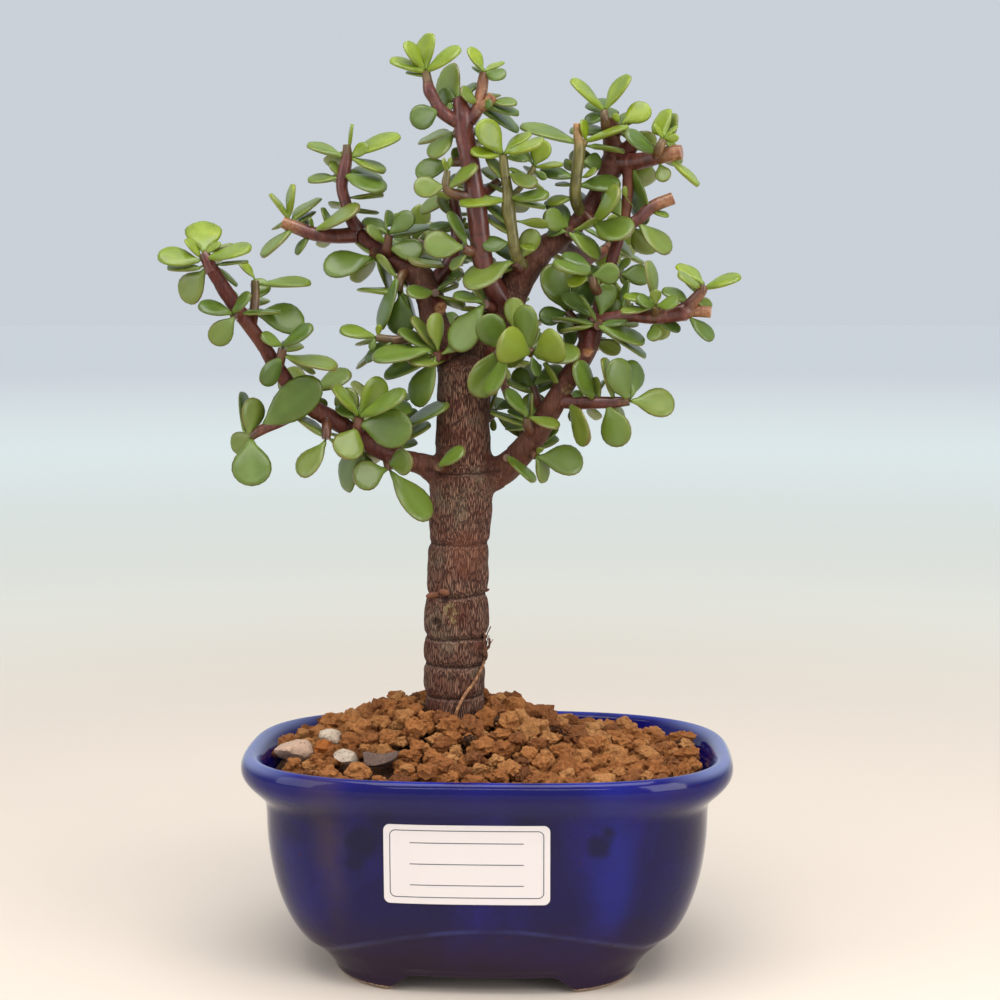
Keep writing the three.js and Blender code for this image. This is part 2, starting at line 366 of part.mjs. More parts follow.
    stems: [[[6.4, 151, -2, 1.4], [5.8, 152.4, -9, 1]]],
    leaves: [[5.9, 152.6, 14, 145.6, 3.3, -1, 0.55]] },
  { name: "shoot_low_right_side",
    stems: [[[21, 169.6, -9, 2], [27, 168.9, -12, 1.7], [34, 168.9, -14, 1.5], [38, 169, -15, 1.4],
      [42.2, 169.3, -16, 1.1]]],
    leaves: [
      [24.4, 168.6, 31.4, 157.4, 6.6, -1, 0.5], [28.4, 167.6, 24.8, 164.6, 4, 2, 0.2],
      [31, 167.6, 32, 163.6, 4.4, 2, 0.25], [31.4, 170, 26.4, 180.6, 6.2, -1, 0.55],
      [33.4, 170, 32.2, 176.6, 3.4, 1, 0.25], [29, 170, 25.2, 171.8, 3, 1, 0.2],
      [35.8, 168.2, 40.4, 155.8, 9, -1, 0.5], [37.6, 168, 40.2, 162.6, 3, 2, 0.5],
      [37.4, 170.2, 33.8, 182.2, 3.9, -1, 0.6], [41.5, 170, 37.4, 181.6, 8.2, -1, 0.55],
      [43, 171, 43.6, 181.4, 6.4, 2, 0.35], [42.9, 169.4, 55.6, 167.8, 8.6, 1, 0.6]] },
  { name: "shoot_right_limb_left",
    stems: [[[30.4, 187.4, -7, 1.6], [27.4, 191.6, -2, 1.3], [23.8, 195.6, 0, 1.1]]],
    leaves: [
      [23.4, 196.4, 17.4, 209.6, 9.4, -1, 0.35], [24, 196.2, 31.8, 203.6, 8, 1, 0.2],
      [23.2, 195.4, 15.4, 193.9, 6, -1, 0.4], [26.6, 192, 20.5, 190.8, 4.5, 1, 0.2],
      [27, 191.4, 23, 186.4, 5, 2, 0.2]] },
  { name: "shoot_right_limb_front",
    stems: [[[34, 200, -5, 1.5], [31.6, 203.4, -9.5, 1.2], [30.8, 206.4, -10, 1.1]]],
    leaves: [
      [31.2, 206.4, 39.2, 207.4, 6.4, -1, 0.45], [30.2, 206, 23.8, 203.4, 3.8, 1, 0.8],
      [30.2, 207.6, 20.7, 208.8, 4.3, -1, 0.4], [30.4, 208.4, 22.2, 213, 4.2, 1, 0.25]] },
  { name: "shoot_right_limb_right",
    stems: [[[35.8, 206, -4, 1.5], [38.6, 206.8, -1, 1.1]]],
    leaves: [[39.2, 206.8, 48.2, 206.2, 6.4, 1, 0.3], [38.8, 206, 41.6, 204.2, 2.4, 2, 0.3],
      [38.8, 207.8, 42, 211.4, 3, 2, 0.2], [37.4, 204.8, 38.8, 195, 7.4, 2, 0.25]] },
  { name: "shoot_right_main_front",
    stems: [[[24.6, 220, 3, 1.5], [24, 219, -2.6, 1.1]]],
    leaves: [[24, 219, 33, 211.4, 5.3, -1, 0.5], [23.4, 220.4, 16.4, 224.2, 6.6, -1, 0.5],
      [25.2, 219.8, 31.8, 214.4, 3, 2, 0.25], [23, 219.4, 17.6, 219, 3.4, 2, 0.2]] },
  { name: "shoot_right_main_side",
    stems: [[[28.6, 224.6, 4, 1.5], [31.2, 222, 1, 1.2]]],
    leaves: [
      [31.4, 221.4, 42.6, 218.2, 8.6, -1, 0.3], [31.6, 220.8, 42.8, 213.2, 4.6, 1, 0.75],
      [31.4, 222.6, 39.5, 230.6, 6.2, -1, 0.65]] },
  { name: "shoot_olive_right",
    stems: [[[27.6, 224.4, 4, 1.9], [25.9, 229, 1, 1.9], [26.1, 235, 0, 1.8], [26.7, 240, 0, 1.9],
      [27, 244, 0, 1.8], [26.4, 247.5, 0, 1.3], [26.4, 250.6, 0, 1.3]],
      [[27.2, 242.6, 0, 1.2], [28.7, 245.6, 1, 1]]],
    leaves: [
      [26, 245, 9.6, 250.4, 4.6, 1, 0.6], [28.9, 245.6, 27.4, 251.8, 3, 1, 0.95],
      [29, 245.4, 41.6, 249.5, 2.5, -1, 0.8], [28, 239.4, 33.4, 239.6, 5.5, 2, 0.25],
      [25.2, 239.4, 22.4, 238, 4, 2, 0.3], [25, 235, 15.3, 237.3, 4.4, -1, 0.45],
      [25, 232.8, 20, 232.8, 2, 2, 0.15], [24.8, 228.9, 17.2, 227.8, 3.6, 1, 0.8],
      [27.4, 232.6, 39.3, 233.6, 5.6, -1, 0.5], [28, 235, 32.4, 237, 2.6, 2, 0.6]] },
  { name: "shoot_upper_right_top",
    stems: [[[35.2, 247, 8, 1.5], [34.4, 252, 3.6, 1.2], [34.2, 254.4, 4, 1]]],
    leaves: [
      [33.8, 254.6, 24, 263, 3.9, -1, 0.9], [34.6, 254.8, 41.8, 264.2, 4.8, 1, 0.85],
      [34.6, 252.4, 28.3, 251.8, 3.8, -1, 0.3]] },
  { name: "shoot_upper_right_side",
    stems: [[[37.4, 247, 8, 1.4], [39, 250, 4.4, 1.1]]],
    leaves: [[39.6, 250.8, 47.6, 255.4, 6.6, 1, 0.9], [38.6, 250.8, 37, 253.6, 2.2, 1, 0.95]] },
  { name: "shoot_right_limb_cut",
    stems: [[[39.8, 221, 0, 1.6], [43.8, 222.4, -1, 1.5], [48.4, 226.4, -1, 1.6],
      [54.6, 229, -1, 1.6]]],
    leaves: [[44.6, 221.6, 53.4, 212.4, 6.4, -1, 0.5], [48.4, 225, 53.5, 223.7, 2.4, -1, 0.6],
      [40.8, 229, 40.4, 232.4, 2, 2, 0.5]] },
  { name: "shoot_right_mid_front",
    stems: [[[33.2, 193, -8, 1.4], [32.8, 191.6, -12.6, 1.1]]],
    leaves: [[33, 191.4, 46.7, 186.4, 4.9, -1, 0.5], [33.6, 191, 47.4, 183, 3.6, 1, 0.45],
      [33.6, 191.6, 41.6, 193.6, 3.4, -1, 0.3]] },
  { name: "shoot_back_centre",
    stems: [[[2.6, 194.4, 34, 1.3], [3.4, 197, 42, 1.1]],
      [[3.4, 197, 42, 1.1], [-4, 193, 40, 1], [-8, 189.6, 34, 1]]],
    leaves: [
      [3, 196.6, -3.4, 191, 8, 2, 0.4], [3.6, 196.8, 10, 191, 8, 2, 0.45],
      [3.2, 197, 3, 186, 8.5, 1, 0.4], [-8, 190, -13.4, 194.4, 7, 2, 0.35],
      [-8.4, 189, -13.2, 184, 8, 2, 0.3], [-7.4, 189, -3, 181, 8.5, 1, 0.35]] },
  { name: "shoot_back_left",
    stems: [[[-22.2, 213.6, 37, 1.2], [-21.6, 216.6, 45, 1.1]],
      [[-21.6, 216.6, 45, 1.1], [-14, 213.4, 41, 1], [-11.6, 210.4, 34, 1]]],
    leaves: [
      [-22, 216.4, -28.6, 212.4, 8, 1, 0.4], [-21.4, 216.6, -14.6, 216, 8.5, 2, 0.45],
      [-21.8, 215.6, -21.4, 207, 9, 1, 0.35], [-11.2, 211.2, -5, 214.6, 8, 1, 0.35],
      [-11.6, 209.8, -9.6, 203.6, 8, 2, 0.3], [-14.4, 214.4, -17, 221, 7, 1, 0.3]] },
  { name: "shoot_back_right",
    stems: [[[35, 214, 37, 1.2], [37.6, 217, 44, 1.1]],
      [[37.6, 217, 44, 1.1], [30, 210.4, 42, 1], [26, 206.4, 36, 1]]],
    leaves: [
      [37.4, 217.4, 40.6, 222.4, 8, 2, 0.45], [37.8, 216.6, 42, 212.4, 8.5, 1, 0.4],
      [37, 216.6, 34.4, 208.4, 9, 1, 0.35], [26, 206.6, 20.4, 202, 8.5, 2, 0.3],
      [26, 206.4, 28.6, 197.4, 9, 1, 0.35], [26.4, 207.6, 34, 205, 7, 2, 0.3]] },
  { name: "shoot_back_low",
    stems: [[[4.2, 178.8, 31, 1.1], [3.6, 182, 38, 0.9]]],
    leaves: [
      [3.4, 182.2, -3.2, 179.4, 8, 2, 0.4], [3.8, 182.4, 9.4, 186, 8.5, 2, 0.4],
      [3.8, 181.4, 2.6, 173.8, 8.5, 1, 0.35]] },
  { name: "shoot_back_far_left",
    stems: [[[-32.2, 164, 27, 1], [-31.6, 167, 33, 0.9]]],
    leaves: [
      [-31.8, 167.2, -36.4, 172.6, 7.5, 2, 0.4], [-31.2, 167, -25.6, 163, 8, 2, 0.4],
      [-31.6, 166.4, -31.4, 157.4, 8.5, 1, 0.35], [-32.4, 165, -37, 160.4, 7, 2, 0.3]] },
];

const MATERIALS = {
  glaze: { color: 0x16305f, roughness: 0.18, metalness: 0 },
  soil: { color: 0x9a6a43, roughness: 0.95, metalness: 0 },
  bark: { color: 0x5c4036, roughness: 0.9, metalness: 0 },
  label: { color: 0xe9e9e4, roughness: 0.6, metalness: 0 },
  screen: { color: 0x222624, roughness: 0.7, metalness: 0 },
  pumice: { color: 0xd8cfc2, roughness: 0.9, metalness: 0 },
};
const OLD_LEAF = new THREE.Color(0x3f5a24);
const YOUNG_LEAF = new THREE.Color(0xa9c93a);

// Meshes and solids

// A closed skin over rings of equal count, each end closed by a fan to a point.
function loft(rings, start, end) {
  const count = rings[0].length;
  const points = [start, ...rings.flat(), end];
  const last = points.length - 1;
  const index = [];
  for (let j = 0; j < count; j++) {
    const k = (j + 1) % count;
    index.push(0, 1 + k, 1 + j);
    index.push(last, last - count + j, last - count + k);
    for (let i = 0; i < rings.length - 1; i++) {
      const a = 1 + i * count;
      const b = a + count;
      index.push(a + j, a + k, b + k, a + j, b + k, b + j);
    }
  }
  const geometry = new THREE.BufferGeometry().setFromPoints(points);
  geometry.setIndex(index);
  return geometry;
}

function solidFrom(geometry) {
  const bare = geometry.clone();
  bare.deleteAttribute("normal");
  bare.deleteAttribute("uv");
  const merged = mergeVertices(bare, 1e-4);
  return new wasm.Manifold(new wasm.Mesh({
    numProp: 3,
    vertProperties: new Float32Array(merged.attributes.position.array),
    triVerts: new Uint32Array(merged.index.array),
  }));
}

function geometryFrom(solid) {
  const mesh = solid.getMesh();
  const geometry = new THREE.BufferGeometry();
  geometry.setAttribute("position", new THREE.Float32BufferAttribute(mesh.vertProperties, 3));
  geometry.setIndex(new THREE.Uint32BufferAttribute(mesh.triVerts, 1));
  const flat = geometry.toNonIndexed();
  flat.computeVertexNormals();
  return flat;
}

function joined(solids) {
  return solids.reduce((whole, solid) => whole.add(solid));
}

// The largest single body of a solid, which a cut may have split.
function largestBody(solid) {
  const bodies = solid.decompose();
  return bodies.reduce((best, body) => (body.volume() > best.volume() ? body : best));
}

const group = new THREE.Group();

function place(name, solid, material) {
  const mesh = new THREE.Mesh(geometryFrom(solid), new THREE.MeshStandardMaterial(material));
  mesh.name = name;
  group.add(mesh);
}

// From the picture plane to the pot's frame

const EYE = new THREE.Vector3(EYE_SIDE, -EYE_DISTANCE, EYE_HEIGHT);
const UP = new THREE.Vector3(0, 0, 1);

// The point seen at (across, height) of the trunk plane, moved back along the line of sight by depth.
function seen(across, height, depth) {
  const onPlane = new THREE.Vector3(across, 0, height);
  const away = onPlane.sub(EYE).multiplyScalar((EYE_DISTANCE + depth) / EYE_DISTANCE);
  return away.add(EYE).applyAxisAngle(UP, POT_TURN);
}
const EYE_IN_POT_FRAME = EYE.clone().applyAxisAngle(UP, POT_TURN);

// Limbs and stems

// A round limb along a smooth curve through its points, with a radius at each. Its far end is
// pointed by its roundness times the last radius: 0 for a sawn end, 1 for a bud.
function limb(points, sides, steps, roundness, swell) {
  const curve = new THREE.CatmullRomCurve3(
    points.map(([across, height, depth]) => seen(across, height, depth)), false, "centripetal");
  const count = (points.length - 1) * steps;
  const frames = curve.computeFrenetFrames(count, false);
  const rings = [];
  for (let i = 0; i <= count; i++) {
    const along = (i / count) * (points.length - 1);
    const from = Math.min(Math.floor(along), points.length - 2);
    const radius = THREE.MathUtils.lerp(points[from][3], points[from + 1][3], along - from) + swell;
    const centre = curve.getPoint(i / count);
    const ring = [];
    for (let j = 0; j < sides; j++) {
      const turn = (2 * Math.PI * j) / sides;
      ring.push(centre.clone()
        .addScaledVector(frames.normals[i], Math.cos(turn) * radius)
        .addScaledVector(frames.binormals[i], Math.sin(turn) * radius));
    }
    rings.push(ring);
  }
  const round = roundness * points[points.length - 1][3];
  const tip = curve.getPoint(1).addScaledVector(frames.tangents[count], round + swell);
  const foot = curve.getPoint(0).addScaledVector(frames.tangents[0], -swell);
  return solidFrom(loft(rings, foot, tip));
}

function gradedLimb(points, swell) {
  const thickest = Math.max(...points.map((point) => point[3]));
  const { sides, steps } = LIMB_GRADES.find(({ above }) => thickest > above);
  return limb(points, sides, steps, 0, swell);
}

// Leaves

// A leaf never grows from the buried first half of a stem's first stretch.
const FIRST_STRETCH_FROM = 0.5;

// The nearest place on a shoot's stems, in the picture plane, with its depth.
function nearestOnStems(stems, across, height) {
  let best = { gap: Infinity };
  for (const stem of stems) {
    for (let i = 0; i < stem.length - 1; i++) {
      const [ax, az, ad] = stem[i];
      const [bx, bz, bd] = stem[i + 1];
      const run = [bx - ax, bz - az];
      const length2 = run[0] ** 2 + run[1] ** 2;
      const t = THREE.MathUtils.clamp(
        ((across - ax) * run[0] + (height - az) * run[1]) / length2, i === 0 ? FIRST_STRETCH_FROM : 0, 1);
      const x = ax + run[0] * t;
      const z = az + run[1] * t;
      const gap = Math.hypot(across - x, height - z);
      if (gap < best.gap) best = { gap, x, z, depth: ad + (bd - ad) * t };
    }
  }
  return best;
}

// One leaf's places and directions, worked out from its row and its present lean.
function poseLeaf(leaf) {
  const [baseX, baseZ, tipX, tipZ, seenWidth] = leaf.row;
  const { x, z, depth } = leaf.heelAt;
  leaf.heel = seen(x, z, depth);
  leaf.base = seen(baseX, baseZ, depth + leaf.lean * LEAF.baseLean);
  leaf.tip = seen(tipX, tipZ, depth + leaf.lean);
  leaf.run = leaf.tip.clone().sub(leaf.base);
  leaf.length = leaf.run.length();
  leaf.along = leaf.run.clone().normalize();
  leaf.width = Math.max(seenWidth,
    Math.min(LEAF.widthOfLength * leaf.length, LEAF.widest) * leaf.fullness);
  const sight = EYE_IN_POT_FRAME.clone().sub(leaf.base).normalize();
  const flatAcross = leaf.along.clone().cross(sight).normalize();
  const facing = THREE.MathUtils.clamp(
    (seenWidth - LEAF.edge) / (leaf.width - LEAF.edge), 0, 1);
  const edge = Math.sqrt(1 - facing * facing);
  const third = leaf.along.clone().cross(flatAcross);
  const lay = (sign) => flatAcross.clone().multiplyScalar(facing).addScaledVector(third, sign * edge);
  // Of the two ways to roll the blade, the one whose upper face looks up or out is the real one.
  const rolls = [lay(1), lay(-1)].map((across) => {
    const normal = leaf.along.clone().cross(across);
    const flip = normal.z + LEAF.faceOut * normal.dot(sight) < 0 ? -1 : 1;
    return { across: across.multiplyScalar(flip), normal: normal.multiplyScalar(flip) };
  });
  const best = rolls[0].normal.dot(sight) >= rolls[1].normal.dot(sight) ? rolls[0] : rolls[1];
  leaf.across = best.across;
  leaf.normal = best.normal;
}

// A fleshy blade with its stalk: a flat underside and a ridged back, along a straight middle line.
// With room around it, its sharp edges are blunt.
function leafSolid(leaf, swell) {
  const halfThick = THREE.MathUtils.clamp(LEAF.thickOfWidth * leaf.width, ...LEAF.halfThick);
  const rings = LEAF_STATIONS.map(({ at, half, thick }) => {
    const centre = leaf.base.clone().addScaledVector(leaf.run, at);
    const reach = half * leaf.width + swell;
    const under = -LEAF.underside * halfThick * thick;
    const ridge = LEAF.ridge * halfThick * thick + swell;
    const point = (across, up) => centre.clone()
      .addScaledVector(leaf.across, across).addScaledVector(leaf.normal, up);
    if (swell === 0) return [point(reach, under), point(0, ridge), point(-reach, under)];
    return [point(reach, under - swell), point(reach, under + swell), point(0, ridge),
      point(-reach, under + swell), point(-reach, under - swell)];
  });
  const inward = leaf.heel.clone().sub(leaf.base).normalize();
  const root = leaf.heel.clone().addScaledVector(inward, LEAF.heelDepth);
  return solidFrom(loft(rings, root, leaf.tip.clone().addScaledVector(leaf.along, swell)));
}

const leaves = [];
for (const shoot of SHOOTS) {
  for (const row of shoot.leaves) {
    const [baseX, baseZ, tipX, tipZ, seenWidth, side] = row;
    const seenLength = Math.hypot(tipX - baseX, tipZ - baseZ);
    const hidden = Math.sqrt(Math.max(0, (seenWidth / LEAF.widthOfLength) ** 2 - seenLength ** 2));
    const least = (Math.abs(side) > 1 ? LEAN.strong : LEAN.light) * seenLength;
    const leaf = {
      shoot,
      row,
      heelAt: nearestOnStems(shoot.stems, baseX, baseZ),
      lean: Math.sign(side) * Math.max(hidden, least),
      mostLean: Math.sqrt(Math.max(LEAF.shortestSpan ** 2, LEAF.longest ** 2 - seenLength ** 2)),
      fullness: seenLength < LEAF.small ? LEAF.smallFullness : 1,
    };
    poseLeaf(leaf);
    leaves.push(leaf);
  }
}

// Leaves that would run into each other or into a limb lean a little more or less, as real ones do.
const SETTLE = { rounds: 40, clearance: 2.6, limbMargin: 1.5, step: 0.7, most: 1, reach: 16, sameHeel: 3,
  limbReach: 12, limbStep: 0.3, ballsPerStretch: 4, middleOfBlade: 0.6 };
// Places on a blade that are kept apart: [along, across]. From OUTER_SAMPLES on they lie past its waist.
const OUTER_SAMPLES = 2;
const SAMPLES = [[0.4, -0.34], [0.4, 0.34], [0.66, -0.42], [0.66, 0], [0.66, 0.42], [0.92, -0.2],
  [0.92, 0.2]];

function samplesOf(leaf) {
  return SAMPLES.map(([at, out]) => leaf.base.clone()
    .addScaledVector(leaf.run, at).addScaledVector(leaf.across, out * leaf.width));
}

function depthOf(point) {
  return point.distanceTo(EYE_IN_POT_FRAME);
}

const limbBalls = [];
for (const points of LIMBS) {
  for (let i = 0; i < points.length - 1; i++) {
    for (let k = 0; k < SETTLE.ballsPerStretch; k++) {
      const mix = points[i].map(
        (value, n) => value + (points[i + 1][n] - value) * (k / SETTLE.ballsPerStretch));
      limbBalls.push({ centre: seen(mix[0], mix[1], mix[2]), radius: mix[3] });
    }
  }
}

for (let round = 0; round < SETTLE.rounds; round++) {
  const clouds = leaves.map(samplesOf);
  const middles = leaves.map((leaf) => leaf.base.clone().addScaledVector(leaf.run, SETTLE.middleOfBlade));
  const push = leaves.map(() => 0);
  for (let i = 0; i < leaves.length; i++) {
    for (let j = i + 1; j < leaves.length; j++) {
      if (middles[i].distanceTo(middles[j]) > SETTLE.reach) continue;
      const nearHeel = leaves[i].heel.distanceTo(leaves[j].heel) < SETTLE.sameHeel;
      const first = nearHeel ? OUTER_SAMPLES : 0;
      let closest = SETTLE.clearance;
      for (const p of clouds[i].slice(first)) {
        for (const q of clouds[j].slice(first)) {
          closest = Math.min(closest, p.distanceTo(q));
        }
      }
      const need = SETTLE.clearance - closest;
      const order = depthOf(middles[i]) < depthOf(middles[j]) ? -1 : 1;
      push[i] += order * need;
      push[j] -= order * need;
    }
    for (const ball of limbBalls) {
      if (middles[i].distanceTo(ball.centre) > SETTLE.limbReach + ball.radius) continue;
      for (const p of clouds[i].slice(OUTER_SAMPLES)) {
        const need = ball.radius + SETTLE.limbMargin - p.distanceTo(ball.centre);
        const away = depthOf(p) < depthOf(ball.centre) ? -SETTLE.limbStep : SETTLE.limbStep;
        if (need > 0) push[i] += away * need;
      }
    }
  }
  leaves.forEach((leaf, i) => {
    const move = THREE.MathUtils.clamp(push[i] * SETTLE.step, -SETTLE.most, SETTLE.most);
    leaf.lean = THREE.MathUtils.clamp(leaf.lean + move, -leaf.mostLean, leaf.mostLean);
    poseLeaf(leaf);
  });
}

// Pot

function outline(halfLength, halfDepth, height, count) {
  const ring = [];
  for (let i = 0; i < count; i++) {
    const turn = (2 * Math.PI * i) / count;
    const c = Math.cos(turn);
    const s = Math.sin(turn);
    ring.push(new THREE.Vector3(
      halfLength * Math.sign(c) * Math.abs(c) ** (2 / OUTLINE_POWER),
      halfDepth * Math.sign(s) * Math.abs(s) ** (2 / OUTLINE_POWER),
      height));
  }
  return ring;
}

function archCut({ width, height }, alongX) {
  const half = width / 2;
  const shape = new THREE.Shape();
  shape.moveTo(-half, -1);
  shape.lineTo(half, -1);
  shape.quadraticCurveTo(half - ARCH_SHOULDER.start, height, half - ARCH_SHOULDER.end, height);
  shape.lineTo(-half + ARCH_SHOULDER.end, height);
  shape.quadraticCurveTo(-half + ARCH_SHOULDER.start, height, -half, -1);
  const geometry = new THREE.ExtrudeGeometry(shape, { depth: 2 * ARCH_REACH, bevelEnabled: false,
    curveSegments: 4 });
  geometry.translate(0, 0, -ARCH_REACH).rotateX(Math.PI / 2);
  if (alongX) geometry.rotateZ(Math.PI / 2);
  return solidFrom(geometry);
}

function makePot() {
  const { halfLength, halfDepth, taper } = FOOT_INNER;
  const rings = [
    outline(halfLength + taper, halfDepth + taper, FLOOR_UNDERSIDE, POT_SEGMENTS),
    outline(halfLength, halfDepth, 0, POT_SEGMENTS),
    ...POT_OUTSIDE.map(([z, a, b]) => outline(a, b, z, POT_SEGMENTS)),
    ...POT_INSIDE.map(([z, a, b]) => outline(a, b, z, POT_SEGMENTS)),
  ];
  let pot = solidFrom(loft(rings, new THREE.Vector3(0, 0, FLOOR_UNDERSIDE),
    new THREE.Vector3(0, 0, FLOOR_TOP)));
  for (const side of [-1, 1]) {
    const { radius, offset, height, depth, segments } = DRAIN_HOLE;
    const hole = new THREE.CylinderGeometry(radius, radius, depth, segments);
    hole.rotateX(Math.PI / 2).translate(side * offset, 0, height);
    pot = pot.subtract(solidFrom(hole));
  }
  pot = pot.subtract(archCut(FRONT_ARCH, false));
  pot = pot.subtract(archCut(SIDE_ARCH, true));
  return largestBody(pot);
}

function boxSolid(width, depth, height, x, y, z) {
  const box = new THREE.BoxGeometry(width, depth, height);
  box.translate(x, y, z);
  return solidFrom(box);
}

function makeScreen(side, swell) {
  const size = SCREEN.side + 2 * swell;
  return boxSolid(size, size, SCREEN.thickness + 2 * swell, side * DRAIN_HOLE.offset, 0,
    FLOOR_TOP + GAP + SCREEN.thickness / 2);
}

// Label: a thin plate that follows the front wall

function wallAt(table, z) {
  const upper = Math.max(1, table.findIndex(([height]) => height >= z));
  const [z0, a0, b0] = table[upper - 1];
  const [z1, a1, b1] = table[upper];
  const t = (z - z0) / (z1 - z0);
  return [a0 + (a1 - a0) * t, b0 + (b1 - b0) * t];
}

function frontWall(x, z) {
  const [a, b] = wallAt(POT_OUTSIDE, z);
  return -b * (1 - Math.abs(x / a) ** OUTLINE_POWER) ** (1 / OUTLINE_POWER);
}

function makeLabel() {
  const rings = [];
  for (let i = 0; i <= LABEL.strips; i++) {
    const x = LABEL.left + ((LABEL.right - LABEL.left) * i) / LABEL.strips;
    const ring = [];
    const heights = [LABEL.bottom, (LABEL.bottom + LABEL.top) / 2, LABEL.top];
    for (const z of heights) ring.push([frontWall(x, z) - LABEL.standoff, z]);
    for (const z of heights.toReversed()) {
      ring.push([frontWall(x, z) - LABEL.standoff - LABEL.thickness, z]);
    }
    rings.push(ring.map(([y, z]) => new THREE.Vector3(x, y, z)));
  }
  // Each end closes to a point between its two middle corners, which lies inside the thin section.
  const capPoint = (ring) => ring[1].clone().lerp(ring[4], 0.5);
  return solidFrom(loft(rings, capPoint(rings[0]), capPoint(rings[LABEL.strips])));
}

// Soil, with the drain screens, the buried foot and the loose stones cut out of it

function soilHeight(x, y) {
  const out = Math.hypot((x - SOIL.centreX) / SOIL.reachX, (y - SOIL.centreY) / SOIL.reachY);
  const [high, alongX, alongY] = SOIL_WAVES.crossed;
  const [low, askewX, askewY] = SOIL_WAVES.askew;
  const waves = high * Math.sin(x * alongX) * Math.cos(y * alongY)
    + low * Math.sin(x * askewX + y * askewY);
  return SOIL.edge + SOIL.rise * Math.exp(-(out ** SOIL.fall)) + waves;
}

function makeSoil() {
  const rings = SOIL.levels.map((z) => {
    const [a, b] = wallAt(POT_INSIDE.toReversed(), z);
    return outline(a - SOIL.wallGap, b - SOIL.wallGap, z, SOIL.segments);
  });
  for (const scale of SOIL.surfaceRings) {
    const ring = outline(SOIL.rimX * scale, SOIL.rimY * scale, 0, SOIL.segments);
    for (const point of ring) point.z = soilHeight(point.x, point.y);
    rings.push(ring);
  }
  return solidFrom(loft(rings, new THREE.Vector3(0, 0, SOIL.levels[0]),
    new THREE.Vector3(0, 0, soilHeight(0, 0))));
}

// Stones and a bark chip that lie on the soil: [name, x, y, half sizes, turn, colour]. The share of a
// stone's height that its middle stands above the soil is STONE_PROUD.
const STONE_PROUD = 0.4;
const STONES = [
  ["stone_pink", -57.9, -11.5, [5.4, 4.2, 3.2], 0.3, 0xc79a8c],
  ["stone_white_left", -47, -6, [3.4, 3, 2.6], 1.1, 0xe6e0d6],
  ["stone_white_front", -40.4, -22.8, [3.6, 2.4, 2.2], 0.5, 0xd9d6cf],
  ["bark_chip", -30.5, -25.6, [4.8, 2.8, 2], 0.2, 0x3a2a24],
];

function makeStone([, x, y, [a, b, c], turn], swell) {
  const stone = new THREE.IcosahedronGeometry(1, 1);
  stone.scale(a + swell, b + swell, c + swell).rotateZ(turn);
  stone.translate(x, y, soilHeight(x, y) + STONE_PROUD * c);
  return solidFrom(stone);
}

// Assembly

const allWood = (swell) => joined(LIMBS.map((points) => gradedLimb(points, swell)));
const wood = allWood(0).simplify(FINENESS);
const woodWithRoom = allWood(GAP);
const pot = makePot();
const screens = [-1, 1].map((side) => makeScreen(side, 0));
let soil = makeSoil().subtract(woodWithRoom);
for (const side of [-1, 1]) soil = soil.subtract(makeScreen(side, GAP));
for (const stone of STONES) soil = soil.subtract(makeStone(stone, GAP));

place("pot", pot, MATERIALS.glaze);
place("label", makeLabel(), MATERIALS.label);
place("drain_screen_left", screens[0], MATERIALS.screen);
place("drain_screen_right", screens[1], MATERIALS.screen);
place("soil", largestBody(soil), MATERIALS.soil);
for (const stone of STONES) {
  place(stone[0], makeStone(stone, 0), { ...MATERIALS.pumice, color: stone[5] });
}
place("trunk", largestBody(wood), MATERIALS.bark);

// Each shoot is cut back from the limbs and from the shoots before it.
const done = [];
for (const shoot of SHOOTS) {
  const own = leaves.filter((leaf) => leaf.shoot === shoot);
  const whole = (swell) => joined([
    ...shoot.stems.map((stem) => limb(stem, SHOOT_SIDES, 1, 1, swell)),
    ...own.map((leaf) => leafSolid(leaf, swell)),
  ]);
  let solid = whole(0).simplify(FINENESS).subtract(woodWithRoom);
  for (const earlier of done) solid = solid.subtract(earlier);
  const kept = largestBody(solid);
  done.push(whole(GAP));
  const youth = own.reduce((sum, leaf) => sum + leaf.row[6], 0) / own.length;
  place(shoot.name, kept, {
    color: OLD_LEAF.clone().lerp(YOUNG_LEAF, youth), roughness: 0.45, metalness: 0 });
}

// The origin is under the middle of the whole piece.
const bounds = new THREE.Box3().setFromObject(group);
const middle = bounds.getCenter(new THREE.Vector3());
for (const mesh of group.children) mesh.position.set(-middle.x, -middle.y, 0);

export default group;
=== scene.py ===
# %% [markdown]
# # A potted dwarf jade
# A dwarf jade is a small succulent tree: a ringed, corky trunk, reddish limbs and round fleshy leaves.
# This one stands in a heap of fired-clay grains in an oval pot with a thick blue glaze. The lesson builds
# it piece by piece: pot, soil, wood and leafy shoots, and last the finishes, the light and the camera.
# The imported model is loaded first. It gives every piece its place, and stays underneath for collision.

